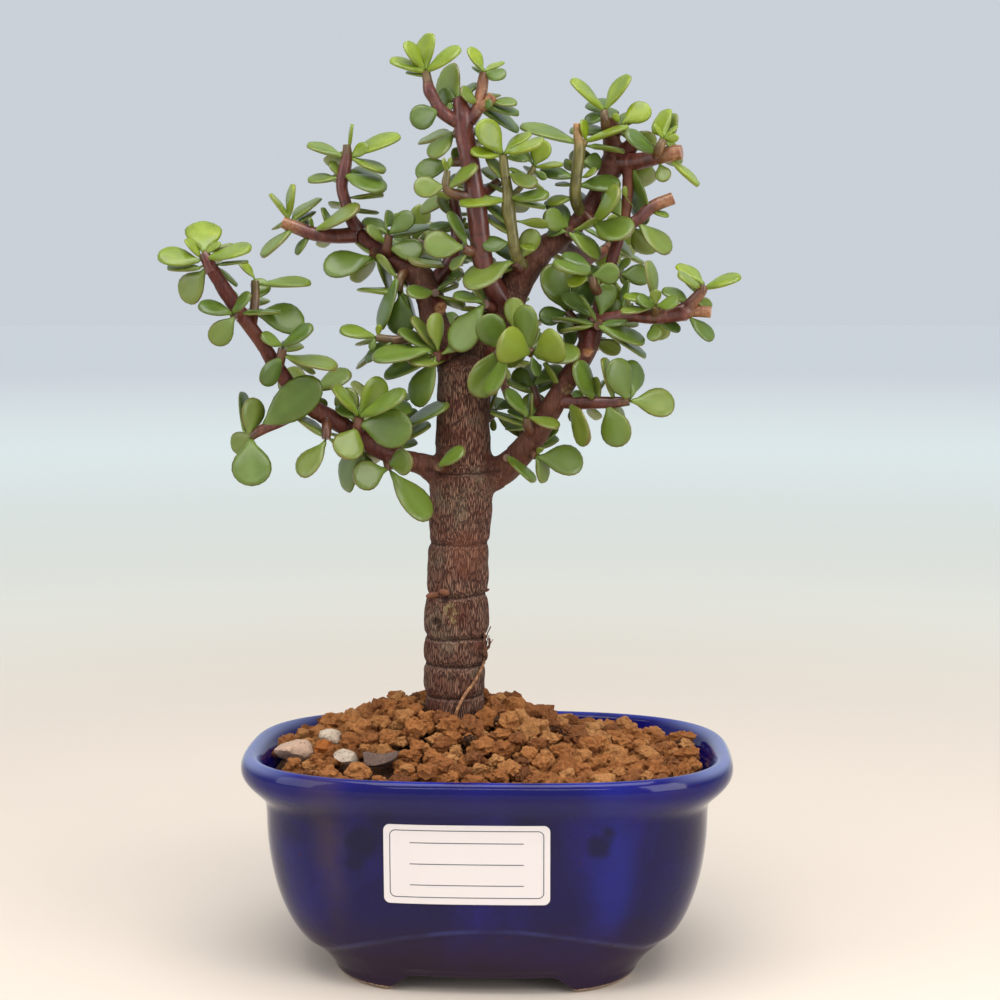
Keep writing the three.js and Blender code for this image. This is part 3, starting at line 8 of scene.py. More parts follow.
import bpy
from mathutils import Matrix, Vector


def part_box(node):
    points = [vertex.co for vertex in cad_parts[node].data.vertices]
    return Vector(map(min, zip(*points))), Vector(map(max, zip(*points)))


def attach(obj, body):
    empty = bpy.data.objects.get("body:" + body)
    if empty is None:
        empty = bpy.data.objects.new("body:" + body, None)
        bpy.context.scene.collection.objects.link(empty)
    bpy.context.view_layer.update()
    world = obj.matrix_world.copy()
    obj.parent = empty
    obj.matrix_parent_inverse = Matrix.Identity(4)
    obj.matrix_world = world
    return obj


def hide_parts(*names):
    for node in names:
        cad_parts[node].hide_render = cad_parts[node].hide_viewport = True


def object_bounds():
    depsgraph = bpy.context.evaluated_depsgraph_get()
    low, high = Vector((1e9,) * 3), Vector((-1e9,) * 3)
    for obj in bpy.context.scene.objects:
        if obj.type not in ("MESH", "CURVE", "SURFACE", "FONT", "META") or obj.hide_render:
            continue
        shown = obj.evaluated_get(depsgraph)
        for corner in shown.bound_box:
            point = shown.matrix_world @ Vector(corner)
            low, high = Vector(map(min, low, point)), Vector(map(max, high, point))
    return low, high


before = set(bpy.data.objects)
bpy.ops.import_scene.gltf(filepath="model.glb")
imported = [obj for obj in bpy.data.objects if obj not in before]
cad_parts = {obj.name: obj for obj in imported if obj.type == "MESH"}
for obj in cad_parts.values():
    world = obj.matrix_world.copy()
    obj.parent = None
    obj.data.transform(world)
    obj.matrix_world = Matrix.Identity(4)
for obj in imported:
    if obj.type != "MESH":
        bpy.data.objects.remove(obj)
CAD_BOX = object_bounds()
print("packed nodes:", len(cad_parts))

# %% Libraries and units
import math
import random

import bpy
import numpy as np
from mathutils import Matrix, Vector, kdtree, noise

MM = 0.001
POT_LOW, POT_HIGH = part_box("pot")
POT_CENTRE = Vector(((POT_LOW[0] + POT_HIGH[0]) / 2, (POT_LOW[1] + POT_HIGH[1]) / 2, 0))
print("pot centre, mm:", [round(v / MM, 2) for v in POT_CENTRE])

# %% [markdown]
# ## The standpoint
# The plant was read from one standpoint in front of the pot: each place on the tree is given as it is
# seen in the upright plane through the trunk, with a depth behind that plane. The camera later stands at
# that same point. A reading becomes a place in space by pushing it back along the line of sight by its
# depth.

# %% From a reading to a place
EYE_DISTANCE = 536
EYE_SIDE = 3.7
EYE_HEIGHT = 197
POT_TURN = math.radians(2.5)
LOOK_DOWN = math.radians(6.1)
EYE = np.array([EYE_SIDE, -EYE_DISTANCE, EYE_HEIGHT])
TURN = np.array([[math.cos(POT_TURN), -math.sin(POT_TURN), 0],
                 [math.sin(POT_TURN), math.cos(POT_TURN), 0],
                 [0, 0, 1]])
EYE_TURNED = TURN @ EYE


def seen(across, height, depth):
    """The places, in mm round the pot's centre, that are seen at (across, height) and lie depth behind."""
    across, height, depth = (np.asarray(v, dtype=float) for v in (across, height, depth))
    plane = np.stack([across, np.zeros_like(across), height], axis=-1)
    away = (plane - EYE) * ((EYE_DISTANCE + depth) / EYE_DISTANCE)[..., None] + EYE
    return away @ TURN.T


def in_frame(place):
    """A place in mm round the pot's centre, as a Vector in metres in the model's frame."""
    return Vector([float(v) * MM for v in place]) + POT_CENTRE


print("standpoint, m:", [round(v, 3) for v in in_frame(EYE_TURNED)])

# %% Small helpers for working as by hand


def only(*objects):
    """Selects these objects and nothing else; the first is the active one."""
    bpy.ops.object.select_all(action="DESELECT")
    for obj in objects:
        obj.select_set(True)
    bpy.context.view_layer.objects.active = objects[0]


def new_object(add_command, **settings):
    """A new object from one of Blender's Add commands, with nothing else selected."""
    bpy.ops.object.select_all(action="DESELECT")
    add_command(**settings)
    return bpy.context.object


def copy_of(pattern):
    """A copy with its own mesh."""
    obj = pattern.copy()
    obj.data = pattern.data.copy()
    bpy.context.collection.objects.link(obj)
    return obj


def apply_modifiers(obj):
    only(obj)
    for modifier in list(obj.modifiers):
        bpy.ops.object.modifier_apply(modifier=modifier.name)


def edit_all():
    """Opens the active object in Edit Mode with everything selected."""
    bpy.ops.object.mode_set(mode="EDIT")
    bpy.ops.mesh.select_all(action="SELECT")


def finish_edit():
    """Turns every face outward and goes back to Object Mode."""
    bpy.ops.mesh.select_all(action="SELECT")
    bpy.ops.mesh.normals_make_consistent(inside=False)
    bpy.ops.object.mode_set(mode="OBJECT")


def smooth(obj, angle=None):
    """Shades an object smooth, or only where its faces meet at less than this angle in degrees."""
    only(obj)
    if angle is None:
        bpy.ops.object.shade_smooth()
    else:
        bpy.ops.object.shade_smooth_by_angle(angle=math.radians(angle))


def freeze_place(obj):
    """Puts an object's place into its mesh, so that the object itself sits at the origin."""
    only(obj)
    bpy.ops.object.transform_apply(location=True, rotation=True, scale=True)


def join(objects, name):
    only(*objects)
    if len(objects) > 1:
        bpy.ops.object.join()
    objects[0].name = name
    return objects[0]


def hand_in(piece, slot, *nodes):
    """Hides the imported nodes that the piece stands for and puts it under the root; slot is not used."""
    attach(piece, "root")
    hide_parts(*nodes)


def smoothstep(low, high, value):
    t = min(1.0, max(0.0, (value - low) / (high - low)))
    return t * t * (3 - 2 * t)


def set_values(obj, name, values):
    """Stores a number for each vertex, or one for all, as a named attribute for a material to read."""
    attribute = obj.data.attributes.get(name) or obj.data.attributes.new(name, "FLOAT", "POINT")
    values = np.broadcast_to(np.asarray(values, dtype=float), len(obj.data.vertices))
    attribute.data.foreach_set("value", values)


def triangles(obj):
    obj.data.calc_loop_triangles()
    return len(obj.data.loop_triangles)


# %% [markdown]
# ## The pot
# The real pot is slip-cast: one wall about 6 mm thick that swells up from a low foot to a rolled lip. Its
# outline is a rounded oblong, a superellipse. It could be lofted from curves, but one closed ring,
# extruded and scaled again and again up the outside, over the lip and down the inside, keeps clean rings
# all round, which a smooth glaze needs.

# %% The pot's sizes
POT_SEGMENTS = 72
OUTLINE_POWER = 2.9
UNDERSIDE = (5, 41, 31.6)
FOOT_INNER = (0.4, 42.2, 32.6)
# [height, half length, half depth] up the outside, from foot to lip
POT_OUTSIDE = [
    (0, 44.4, 34.9), (0.8, 45.9, 36.4), (2.5, 47.5, 37.6), (5, 49.4, 38.1), (7.5, 51.8, 38.6), (10, 55, 39.1),
    (13, 57.9, 39.7), (17, 60.4, 40.5), (22, 62.6, 41.3), (28, 64.4, 42), (35, 65.7, 42.5), (42, 66.4, 42.8),
    (48, 66.4, 43), (51.2, 66.7, 43.2), (53, 68, 44), (55.2, 70.4, 45.7), (57.6, 72.8, 47.2),
    (60, 73.9, 48.1), (62.4, 73.8, 48.1), (64.4, 73, 47.4), (65.5, 71.6, 46.4)]
# The same down the inside, from lip to floor
POT_INSIDE = [
    (65.1, 69.8, 44.4), (63.8, 68.4, 43.2), (61, 66.4, 41.6), (57, 64.4, 40.2), (50, 62.7, 39.2),
    (35, 60.4, 37.6), (20, 57, 36), (12, 52.2, 33.9), (9.4, 47.5, 30.6), (9, 38, 22)]
DRAIN_HOLE = {"radius": 7, "offset": 27, "drill": 12, "height": 7}
FRONT_ARCH = {"flat": 20, "shoulder": 28, "height": 5}
SIDE_ARCH = {"flat": 10, "shoulder": 18, "height": 4}
ARCH_TOP = 8
# The body ends in a soft edge that rises in the middle of the long sides and dips to the corners
EDGE = {"corner": 11.8, "tilt": 1.2, "rise": 8.8, "reach": 47, "recess": 1.3}

# %% One ring, extruded up, over and down


def oblong_ring(count):
    """A ring of unit size with the pot's outline."""
    ring = new_object(bpy.ops.mesh.primitive_circle_add, vertices=count, radius=1, fill_type="NOTHING")
    for vertex in ring.data.vertices:
        x, y = vertex.co.x, vertex.co.y
        vertex.co.x = math.copysign(abs(x) ** (2 / OUTLINE_POWER), x)
        vertex.co.y = math.copysign(abs(y) ** (2 / OUTLINE_POWER), y)
    return ring


def oblong_share(x, y, length, depth):
    """How far out a place is, where an outline with these half sizes is at 1."""
    return (abs(x / length) ** OUTLINE_POWER + abs(y / depth) ** OUTLINE_POWER) ** (1 / OUTLINE_POWER)


def extrude_through(rings, filled):
    """Extrudes the active ring through rows of (height, half length, half depth), in Edit Mode."""
    height, length, depth = rings[0]
    edit_all()
    bpy.ops.transform.resize(value=(length * MM, depth * MM, 1), center_override=(0, 0, 0))
    bpy.ops.transform.translate(value=(0, 0, height * MM))
    if filled:
        bpy.ops.mesh.edge_face_add()
    for to_height, to_length, to_depth in rings[1:]:
        rise = (0, 0, (to_height - height) * MM)
        bpy.ops.mesh.extrude_region_move(TRANSFORM_OT_translate={"value": rise})
        bpy.ops.transform.resize(value=(to_length / length, to_depth / depth, 1),
                                 center_override=(0, 0, to_height * MM))
        height, length, depth = to_height, to_length, to_depth


glazed_pot = oblong_ring(POT_SEGMENTS)
glazed_pot.name = "glazed_pot"
rings = [UNDERSIDE, FOOT_INNER] + POT_OUTSIDE + POT_INSIDE
extrude_through(rings, filled=False)
bpy.ops.mesh.merge(type="CENTER")
bpy.ops.object.mode_set(mode="OBJECT")
print("pot rings:", len(rings), "vertices:", len(glazed_pot.data.vertices))

# %% [markdown]
# The first ring is still open underneath. It is selected by its place, drawn in and merged to a point,
# and the whole is smoothed with a Subdivision Surface. The two drain holes are cut afterwards with
# cylinders, because their edges have to stay crisp.

# %% The closed underside, smoothing and drain holes
for vertex in glazed_pot.data.vertices:
    vertex.select = False
for vertex in list(glazed_pot.data.vertices)[:POT_SEGMENTS]:
    vertex.select = True
bpy.ops.object.mode_set(mode="EDIT")
bpy.ops.mesh.extrude_region_move(TRANSFORM_OT_translate={"value": (0, 0, 0)})
bpy.ops.transform.resize(value=(0.8, 0.8, 1), center_override=(0, 0, UNDERSIDE[0] * MM))
bpy.ops.mesh.extrude_region_move(TRANSFORM_OT_translate={"value": (0, 0, 0)})
bpy.ops.mesh.merge(type="CENTER")
finish_edit()
smoothing = glazed_pot.modifiers.new("smoothing", "SUBSURF")
smoothing.levels = smoothing.render_levels = 2
apply_modifiers(glazed_pot)

for side in (-1, 1):
    place = Vector((side * DRAIN_HOLE["offset"], 0, DRAIN_HOLE["height"])) * MM
    drill = new_object(bpy.ops.mesh.primitive_cylinder_add, vertices=32, radius=DRAIN_HOLE["radius"] * MM,
                       depth=DRAIN_HOLE["drill"] * MM, location=place)
    cut = glazed_pot.modifiers.new("drain hole", "BOOLEAN")
    cut.operation, cut.object, cut.solver = "DIFFERENCE", drill, "EXACT"
    apply_modifiers(glazed_pot)
    bpy.data.objects.remove(drill)
print("pot triangles:", triangles(glazed_pot))

# %% [markdown]
# Two things on the pot follow no ring: the low arches between the four corner feet, and the soft edge
# where the body ends above the foot. Both are small moves of the vertices that lie there, by a smooth
# formula, as with a sculpting brush. The height of the edge is kept as an attribute: the glaze breaks
# pale along it.

# %% Arches and the edge above the foot
LIP = (74, 48.2)
HOLLOW_LIFT = 2.2


def front_lift(x, y, z):
    """The hollow under the lip sits higher in the middle of the long sides than at the ends."""
    middle = smoothstep(20, 34, abs(y)) * (1 - smoothstep(34, 62, abs(x)))
    return HOLLOW_LIFT * middle * smoothstep(46, 54, z) * (1 - smoothstep(55, 65.5, z))


def arch_lift(x, y):
    if abs(y) > 24:
        arch, along = FRONT_ARCH, abs(x)
    elif abs(x) > 38:
        arch, along = SIDE_ARCH, abs(y)
    else:
        return 0
    return arch["height"] * (1 - smoothstep(arch["flat"], arch["shoulder"], along))


def edge_height(x, y):
    along = x / EDGE["reach"]
    rise = max(0, 1 - along ** 2) * smoothstep(20, 32, abs(y))
    return EDGE["corner"] + EDGE["tilt"] * along + EDGE["rise"] * rise


above_edge = []
for vertex in glazed_pot.data.vertices:
    x, y, z = vertex.co / MM
    share = oblong_share(x, y, *LIP)
    outer = smoothstep(0.57, 0.6, share)
    edge = edge_height(x, y)
    under = smoothstep(edge + 0.6, edge - 1.4, z) * smoothstep(0, 4, z) * outer
    out = Vector((x / LIP[0] ** 2, y / LIP[1] ** 2, 0)).normalized()
    vertex.co -= out * EDGE["recess"] * under * MM
    if share > 0.85:
        vertex.co.z += front_lift(x, y, z) * MM
    if z < ARCH_TOP:
        vertex.co.z += arch_lift(x, y) * (1 - max(z, 0) / ARCH_TOP) * MM
    above_edge.append(z - edge if outer > 0.5 and z < 30 else 20)
set_values(glazed_pot, "above_edge", above_edge)
glazed_pot.data.transform(Matrix.Translation(POT_CENTRE))
smooth(glazed_pot, angle=50)
hand_in(glazed_pot, "glaze", "pot")
print("pot size, mm:", [round(v / MM, 1) for v in glazed_pot.dimensions])

# %% [markdown]
# ## The sticker
# A small paper sticker with round corners lies flat against the front wall. A plane gets its corners
# bevelled, is cut into upright strips so that it can bend, and each vertex is then laid on the wall's
# curve.

# %% A sticker that follows the wall
WALL_TOP = 50
LABEL = {"left": -27.4, "right": 19.7, "bottom": 29.1, "top": 52.3, "corner": 1.8, "tilt": 0.3,
         "strips": 24, "standoff": 0.2, "thickness": 0.16}
LABEL_MIDDLE = (LABEL["left"] + LABEL["right"]) / 2, (LABEL["bottom"] + LABEL["top"]) / 2
LABEL_SLOPE = math.tan(math.radians(LABEL["tilt"])) * 0.6


def half_sizes(table, z):
    """Half length and half depth of the pot's outline at height z."""
    for (z0, a0, b0), (z1, a1, b1) in zip(table, table[1:]):
        if min(z0, z1) <= z <= max(z0, z1):
            t = (z - z0) / (z1 - z0)
            return a0 + (a1 - a0) * t, b0 + (b1 - b0) * t
    raise ValueError(z)


def front_wall(x, z):
    length, depth = half_sizes(POT_OUTSIDE, min(z, WALL_TOP))
    return -depth * (1 - abs(x / length) ** OUTLINE_POWER) ** (1 / OUTLINE_POWER)


label_width = LABEL["right"] - LABEL["left"]
label_height = LABEL["top"] - LABEL["bottom"]
paper_label = new_object(bpy.ops.mesh.primitive_plane_add, size=1, rotation=(math.pi / 2, 0, 0))
paper_label.name = "paper_label"
paper_label.scale = (label_width * MM, label_height * MM, 1)
paper_label.location = (LABEL_MIDDLE[0] * MM, 0, LABEL_MIDDLE[1] * MM)
freeze_place(paper_label)
edit_all()
bpy.ops.mesh.bevel(affect="VERTICES", offset=LABEL["corner"] * MM, segments=6)
for i in range(1, LABEL["strips"]):
    bpy.ops.mesh.select_all(action="SELECT")
    cut_at = LABEL["left"] + label_width * i / LABEL["strips"]
    bpy.ops.mesh.bisect(plane_co=(cut_at * MM, 0, 0), plane_no=(1, 0, 0))
bpy.ops.mesh.select_all(action="SELECT")
bpy.ops.mesh.bisect(plane_co=(0, 0, LABEL_MIDDLE[1] * MM), plane_no=(0, 0, 1))
bpy.ops.object.mode_set(mode="OBJECT")
for vertex in paper_label.data.vertices:
    x, _, z = vertex.co / MM
    vertex.co.z += (x - LABEL["left"]) * LABEL_SLOPE * MM
    vertex.co.y = (front_wall(x, vertex.co.z / MM) - LABEL["standoff"]) * MM
paper = paper_label.modifiers.new("paper", "SOLIDIFY")
paper.thickness, paper.offset = LABEL["thickness"] * MM, 1
apply_modifiers(paper_label)
paper_label.data.transform(Matrix.Translation(POT_CENTRE))
hand_in(paper_label, "label", "label")
print("sticker size, mm:", [round(v / MM, 1) for v in paper_label.dimensions])

# %% [markdown]
# ## The drain screens
# Squares of plastic mesh lie over the drain holes, so that no grain falls out. A flat grid with a
# Wireframe modifier is just such a mesh.

# %% Two mesh squares
SCREEN = {"side": 21, "bars": 12, "bar": 0.6, "height": 9.8}
for name, side in (("screen_mesh_left", -1), ("screen_mesh_right", 1)):
    screen = new_object(bpy.ops.mesh.primitive_grid_add, x_subdivisions=SCREEN["bars"],
                        y_subdivisions=SCREEN["bars"], size=SCREEN["side"] * MM)
    screen.name = name
    screen.location = POT_CENTRE + Vector((side * DRAIN_HOLE["offset"], 0, SCREEN["height"])) * MM
    freeze_place(screen)
    bars = screen.modifiers.new("bars", "WIREFRAME")
    bars.thickness = SCREEN["bar"] * MM
    apply_modifiers(screen)
    hand_in(screen, "screen", name.replace("screen_mesh", "drain_screen"))
print("screen triangles:", triangles(screen))

# %% [markdown]
# ## The soil
# The soil is a heap of fired-clay grains, most of them 3 to 7 mm across, high round the trunk's foot and
# lower at the wall. Underneath lies a plain bed that closes the gaps between them; it is coloured dark
# brown, as painted shade in those gaps.

# %% The heap's height, and the bed
SOIL = {"edge": 60.6, "rise": 16.6, "centre": (-11, 3.4), "reach": (38, 28), "fall": 2.4, "wall_gap": 0.6,
        "bed_drop": 3.2, "segments": 48, "bed_edge": (63.8, 40), "bed_top": 60}


def soil_height(x, y):
    (middle_x, middle_y), (reach_x, reach_y) = SOIL["centre"], SOIL["reach"]
    out = math.hypot((x - middle_x) / reach_x, (y - middle_y) / reach_y)
    bumps = 0.35 * math.sin(x * 0.9) * math.cos(y * 0.8) + 0.25 * math.sin(x * 0.37 + y * 0.53)
    return SOIL["edge"] + SOIL["rise"] * math.exp(-out ** SOIL["fall"]) + bumps


soil_bed = oblong_ring(SOIL["segments"])
bed_rings = []
# The corner between the pot's floor and wall is rounded, so the bed stands further off there
for z, gap in ((10.6, 4), (13, 2.3), (24, 1.4), (40, SOIL["wall_gap"]), (58, SOIL["wall_gap"])):
    length, depth = half_sizes(POT_INSIDE, z)
    bed_rings.append((z, length - gap, depth - gap))
for share in (0.99, 0.85, 0.7, 0.55, 0.4, 0.25, 0.1):
    bed_rings.append((SOIL["bed_top"], *(half * share for half in SOIL["bed_edge"])))
extrude_through(bed_rings, filled=True)
finish_edit()
for vertex in soil_bed.data.vertices:
    if vertex.co.z > (SOIL["bed_top"] - 1) * MM:
        vertex.co.z = (soil_height(vertex.co.x / MM, vertex.co.y / MM) - SOIL["bed_drop"]) * MM
print("bed height at the middle, mm:", round(soil_height(0, 0) - SOIL["bed_drop"], 1))

# %% [markdown]
# A grain is a small ball with its vertices pushed about by noise, so that it looks crumbly, and some of
# its faces taken away again. Six of them are enough: turned and scaled, hundreds of copies look all
# different. They are strewn over a jittered grid: one close layer, some large ones that stand proud, and
# small crumbs.

# %% Six grains
GRAIN_KINDS = 6
grain_kinds = []
for kind in range(GRAIN_KINDS):
    grain = new_object(bpy.ops.mesh.primitive_ico_sphere_add, subdivisions=3, radius=1)
    for vertex in grain.data.vertices:
        lump = noise.noise(vertex.co * 1.1 + Vector((kind * 7.3, 0, 0)))
        knob = noise.noise(vertex.co * 2.6 + Vector((kind * 3.1, 5, 0)))
        grit = noise.noise(vertex.co * 6 + Vector((0, kind * 4.7, 2)))
        vertex.co *= 1 + 0.5 * lump + 0.4 * knob + 0.2 * grit
    grain.modifiers.new("fewer faces", "DECIMATE").ratio = 0.62
    apply_modifiers(grain)
    grain_kinds.append(grain)
print("triangles in a grain:", triangles(grain_kinds[0]))

# %% Where grains may lie
GRAINS = {"jitter": 1.4, "field": (68.0, 42.0), "row_pace": 0.866, "edge": (63.2, 39.8), "edge_shift": 0.6,
          "seed": 11, "clear_of_trunk": 8.5, "trunk": -9.9}
# Loose pieces: (name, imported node, how far round it no grain lies)
LOOSE = [("pink_pumice", "stone_pink", 6.2), ("white_pumice", "stone_white_left", 4.6),
         ("pale_shard", "stone_white_front", 4.6), ("dark_bark_chip", "bark_chip", 5)]
loose_places = []
for _, node, reach in LOOSE:
    low, high = (Vector(v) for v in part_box(node))
    middle = ((low + high) / 2 - POT_CENTRE) / MM
    loose_places.append((middle.x, middle.y, reach))
dice = random.Random(GRAINS["seed"])
trunk_foot = TURN @ np.array([GRAINS["trunk"], 0, 0])


def free_ground(x, y, radius):
    """Whether a grain fits there, inside the wall and clear of the trunk and the loose pieces."""
    inside = oblong_share(x + GRAINS["edge_shift"], y, *GRAINS["edge"]) < 1
    to_trunk = math.hypot(x - trunk_foot[0], y - trunk_foot[1])
    return inside and to_trunk > GRAINS["clear_of_trunk"] + 0.6 * radius and all(
        math.hypot(x - sx, y - sy) > reach + 0.5 * radius for sx, sy, reach in loose_places)


print("loose pieces kept free of grains:", len(loose_places))

# %% Strewing them


def strew(spacing, radii, lift, chance):
    """Where grains lie over the heap: for each its kind, its place and its radius."""
    placed = []
    far_x, far_y = GRAINS["field"]
    y, row = -far_y, 0
    while y < far_y:
        x = -far_x + (row % 2) * spacing / 2
        while x < far_x:
            px = x + dice.uniform(-1, 1) * GRAINS["jitter"]
            py = y + dice.uniform(-1, 1) * GRAINS["jitter"]
            radius = dice.triangular(*radii)
            if dice.random() < chance and free_ground(px, py, radius):
                pz = soil_height(px, py) + lift * radius
                placed.append((dice.randrange(GRAIN_KINDS), px, py, pz, radius))
            x += spacing
        y += spacing * GRAINS["row_pace"]
        row += 1
    return placed


# (spacing, smallest, largest and usual radius, how far they stand proud, share of places that are filled)
LAYERS = [(4.8, (1.8, 3, 2.3), -0.3, 1), (6.2, (2, 4.1, 2.8), 0.6, 0.75), (4.5, (0.7, 1.7, 1.1), 0.9, 0.4)]
strewn = [grain for layer in LAYERS for grain in strew(*layer)]
soil_parts = [soil_bed]
for kind, px, py, pz, radius in strewn:
    grain = copy_of(grain_kinds[kind])
    about = dice.uniform(0, 6.28)
    turned = Matrix.Rotation(about, 4, Vector([dice.gauss(0, 1) for _ in range(3)]))
    shape = Matrix.Diagonal((dice.uniform(0.8, 1.15), dice.uniform(0.75, 1), dice.uniform(0.65, 0.9), 1))
    grain.data.transform(Matrix.Translation(Vector((px, py, pz)) * MM) @ shape @ turned
                         @ Matrix.Scale(radius * MM, 4))
    set_values(grain, "tone", dice.uniform(0.07, 0.85))
    soil_parts.append(grain)
print("grains strewn:", len(strewn))

# %% Odd bits and fibres
# Odd bits among the grains: (x, y, half sizes, tone), from almost black at -0.1 to orange at 1
ODD_BITS = [
    (3.2, -9.9, (2.2, 1.2, 1.7), -0.1), (-4.3, -19, (2.1, 1.6, 1.4), -0.03),
    (-47.5, -14, (3.4, 2.9, 2.8), 1), (15, -3, (1.7, 1, 1.1), -0.08),
    (59, 13, (2.4, 1.7, 1.6), -0.02), (-19.5, -4.5, (1.5, 1.3, 1.2), -0.05)]
BIT_LIFT = 1.6
FIBRES = {"count": 26, "places": [(9, 2), (22, -3), (4, -7)], "spread": 3.4, "sizes": (2.6, 0.22, 0.22)}
for n in range(FIBRES["count"]):
    x, y = FIBRES["places"][n % len(FIBRES["places"])]
    ODD_BITS.append((x + dice.gauss(0, FIBRES["spread"]), y + dice.gauss(0, FIBRES["spread"]) * 0.6,
                     FIBRES["sizes"], -0.09))
for x, y, sizes, tone in ODD_BITS:
    bit = copy_of(grain_kinds[0])
    turned = Matrix.Rotation(dice.uniform(0, 3.14), 4, "Z") @ Matrix.Rotation(dice.uniform(-0.5, 0.5), 4, "Y")
    bit.data.transform(Matrix.Translation(Vector((x, y, soil_height(x, y) + BIT_LIFT)) * MM) @ turned
                       @ Matrix.Diagonal([size * MM for size in sizes] + [1]))
    set_values(bit, "tone", tone)
    soil_parts.append(bit)
print("odd bits and fibres:", len(ODD_BITS))

# %% One soil, held in by the wall
# The bed's low tone makes it dark brown: painted shade in the gaps between the grains
set_values(soil_bed, "tone", 0.01)
clay_soil = join(soil_parts, "clay_soil")
for grain in grain_kinds:
    bpy.data.objects.remove(grain)
# The wall holds the grains in: what would stand in it is pressed flat against its inside
for vertex in clay_soil.data.vertices:
    x, y, z = vertex.co / MM
    wall = half_sizes(POT_INSIDE, min(z, POT_INSIDE[0][0]))
    past = oblong_share(x, y, *(half - SOIL["wall_gap"] for half in wall))
    if past > 1:
        vertex.co.x, vertex.co.y = vertex.co.x / past, vertex.co.y / past
clay_soil.data.transform(Matrix.Translation(POT_CENTRE))
smooth(clay_soil, angle=34)
hand_in(clay_soil, "soil", "soil")
print("grains:", len(strewn), "triangles:", triangles(clay_soil))

# %% [markdown]
# ## Loose stones
# Three pale stones and a dark curled chip of bark lie at the left end. They are like large grains, but
# larger and broken along flat faces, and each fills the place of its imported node.

# %% Stones and the chip
# Broken corners take away some of the size
STONE_GROWTH = 1.15
STONE_LIFT = 1.2
FACETS = {"count": 9, "distance": (0.5, 0.8)}
STONE_LOOKS = {
    "pink_pumice": {"slot": "pink_stone", "seed": 21, "rough": 0.22},
    "white_pumice": {"slot": "pale_stone", "seed": 22, "rough": 0.3},
    "pale_shard": {"slot": "pale_stone", "seed": 23, "rough": 0.35},
    "dark_bark_chip": {"slot": "bark", "seed": 24, "rough": 0.4}}
stones = {}
for name, node, _ in LOOSE:
    low, high = (Vector(v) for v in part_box(node))
    look = STONE_LOOKS[name]
    stone = new_object(bpy.ops.mesh.primitive_ico_sphere_add, subdivisions=3, radius=1)
    stone.name = name
    edit_all()
    bpy.ops.transform.vertex_random(offset=0.05, uniform=0, normal=0.5, seed=look["seed"])
    bpy.ops.object.mode_set(mode="OBJECT")
    dice = random.Random(look["seed"])
    facets = [(Vector([dice.gauss(0, 1) for _ in range(3)]).normalized(), dice.uniform(*FACETS["distance"]))
              for _ in range(FACETS["count"])]
    for vertex in stone.data.vertices:
        lump = noise.fractal(vertex.co * 1.3 + Vector((look["seed"], 0, 0)), 1.0, 2.0, 3)
        vertex.co *= 1 + look["rough"] * lump
        for facet, distance in facets:
            vertex.co -= facet * max(0, vertex.co.dot(facet) - distance)
        if name == "dark_bark_chip":
            vertex.co.z = 0.55 * vertex.co.z + 0.7 * vertex.co.x ** 2 - 0.2
    for i, side in enumerate(zip(*(vertex.co for vertex in stone.data.vertices))):
        stone.scale[i] = STONE_GROWTH * (high[i] - low[i]) / (max(side) - min(side))
    stone.location = (low + high) / 2 + Vector((0, 0, STONE_LIFT * MM))
    freeze_place(stone)
    smooth(stone, angle=35)
    hand_in(stone, look["slot"], node)
    stones[name] = stone
print("stones:", list(stones))
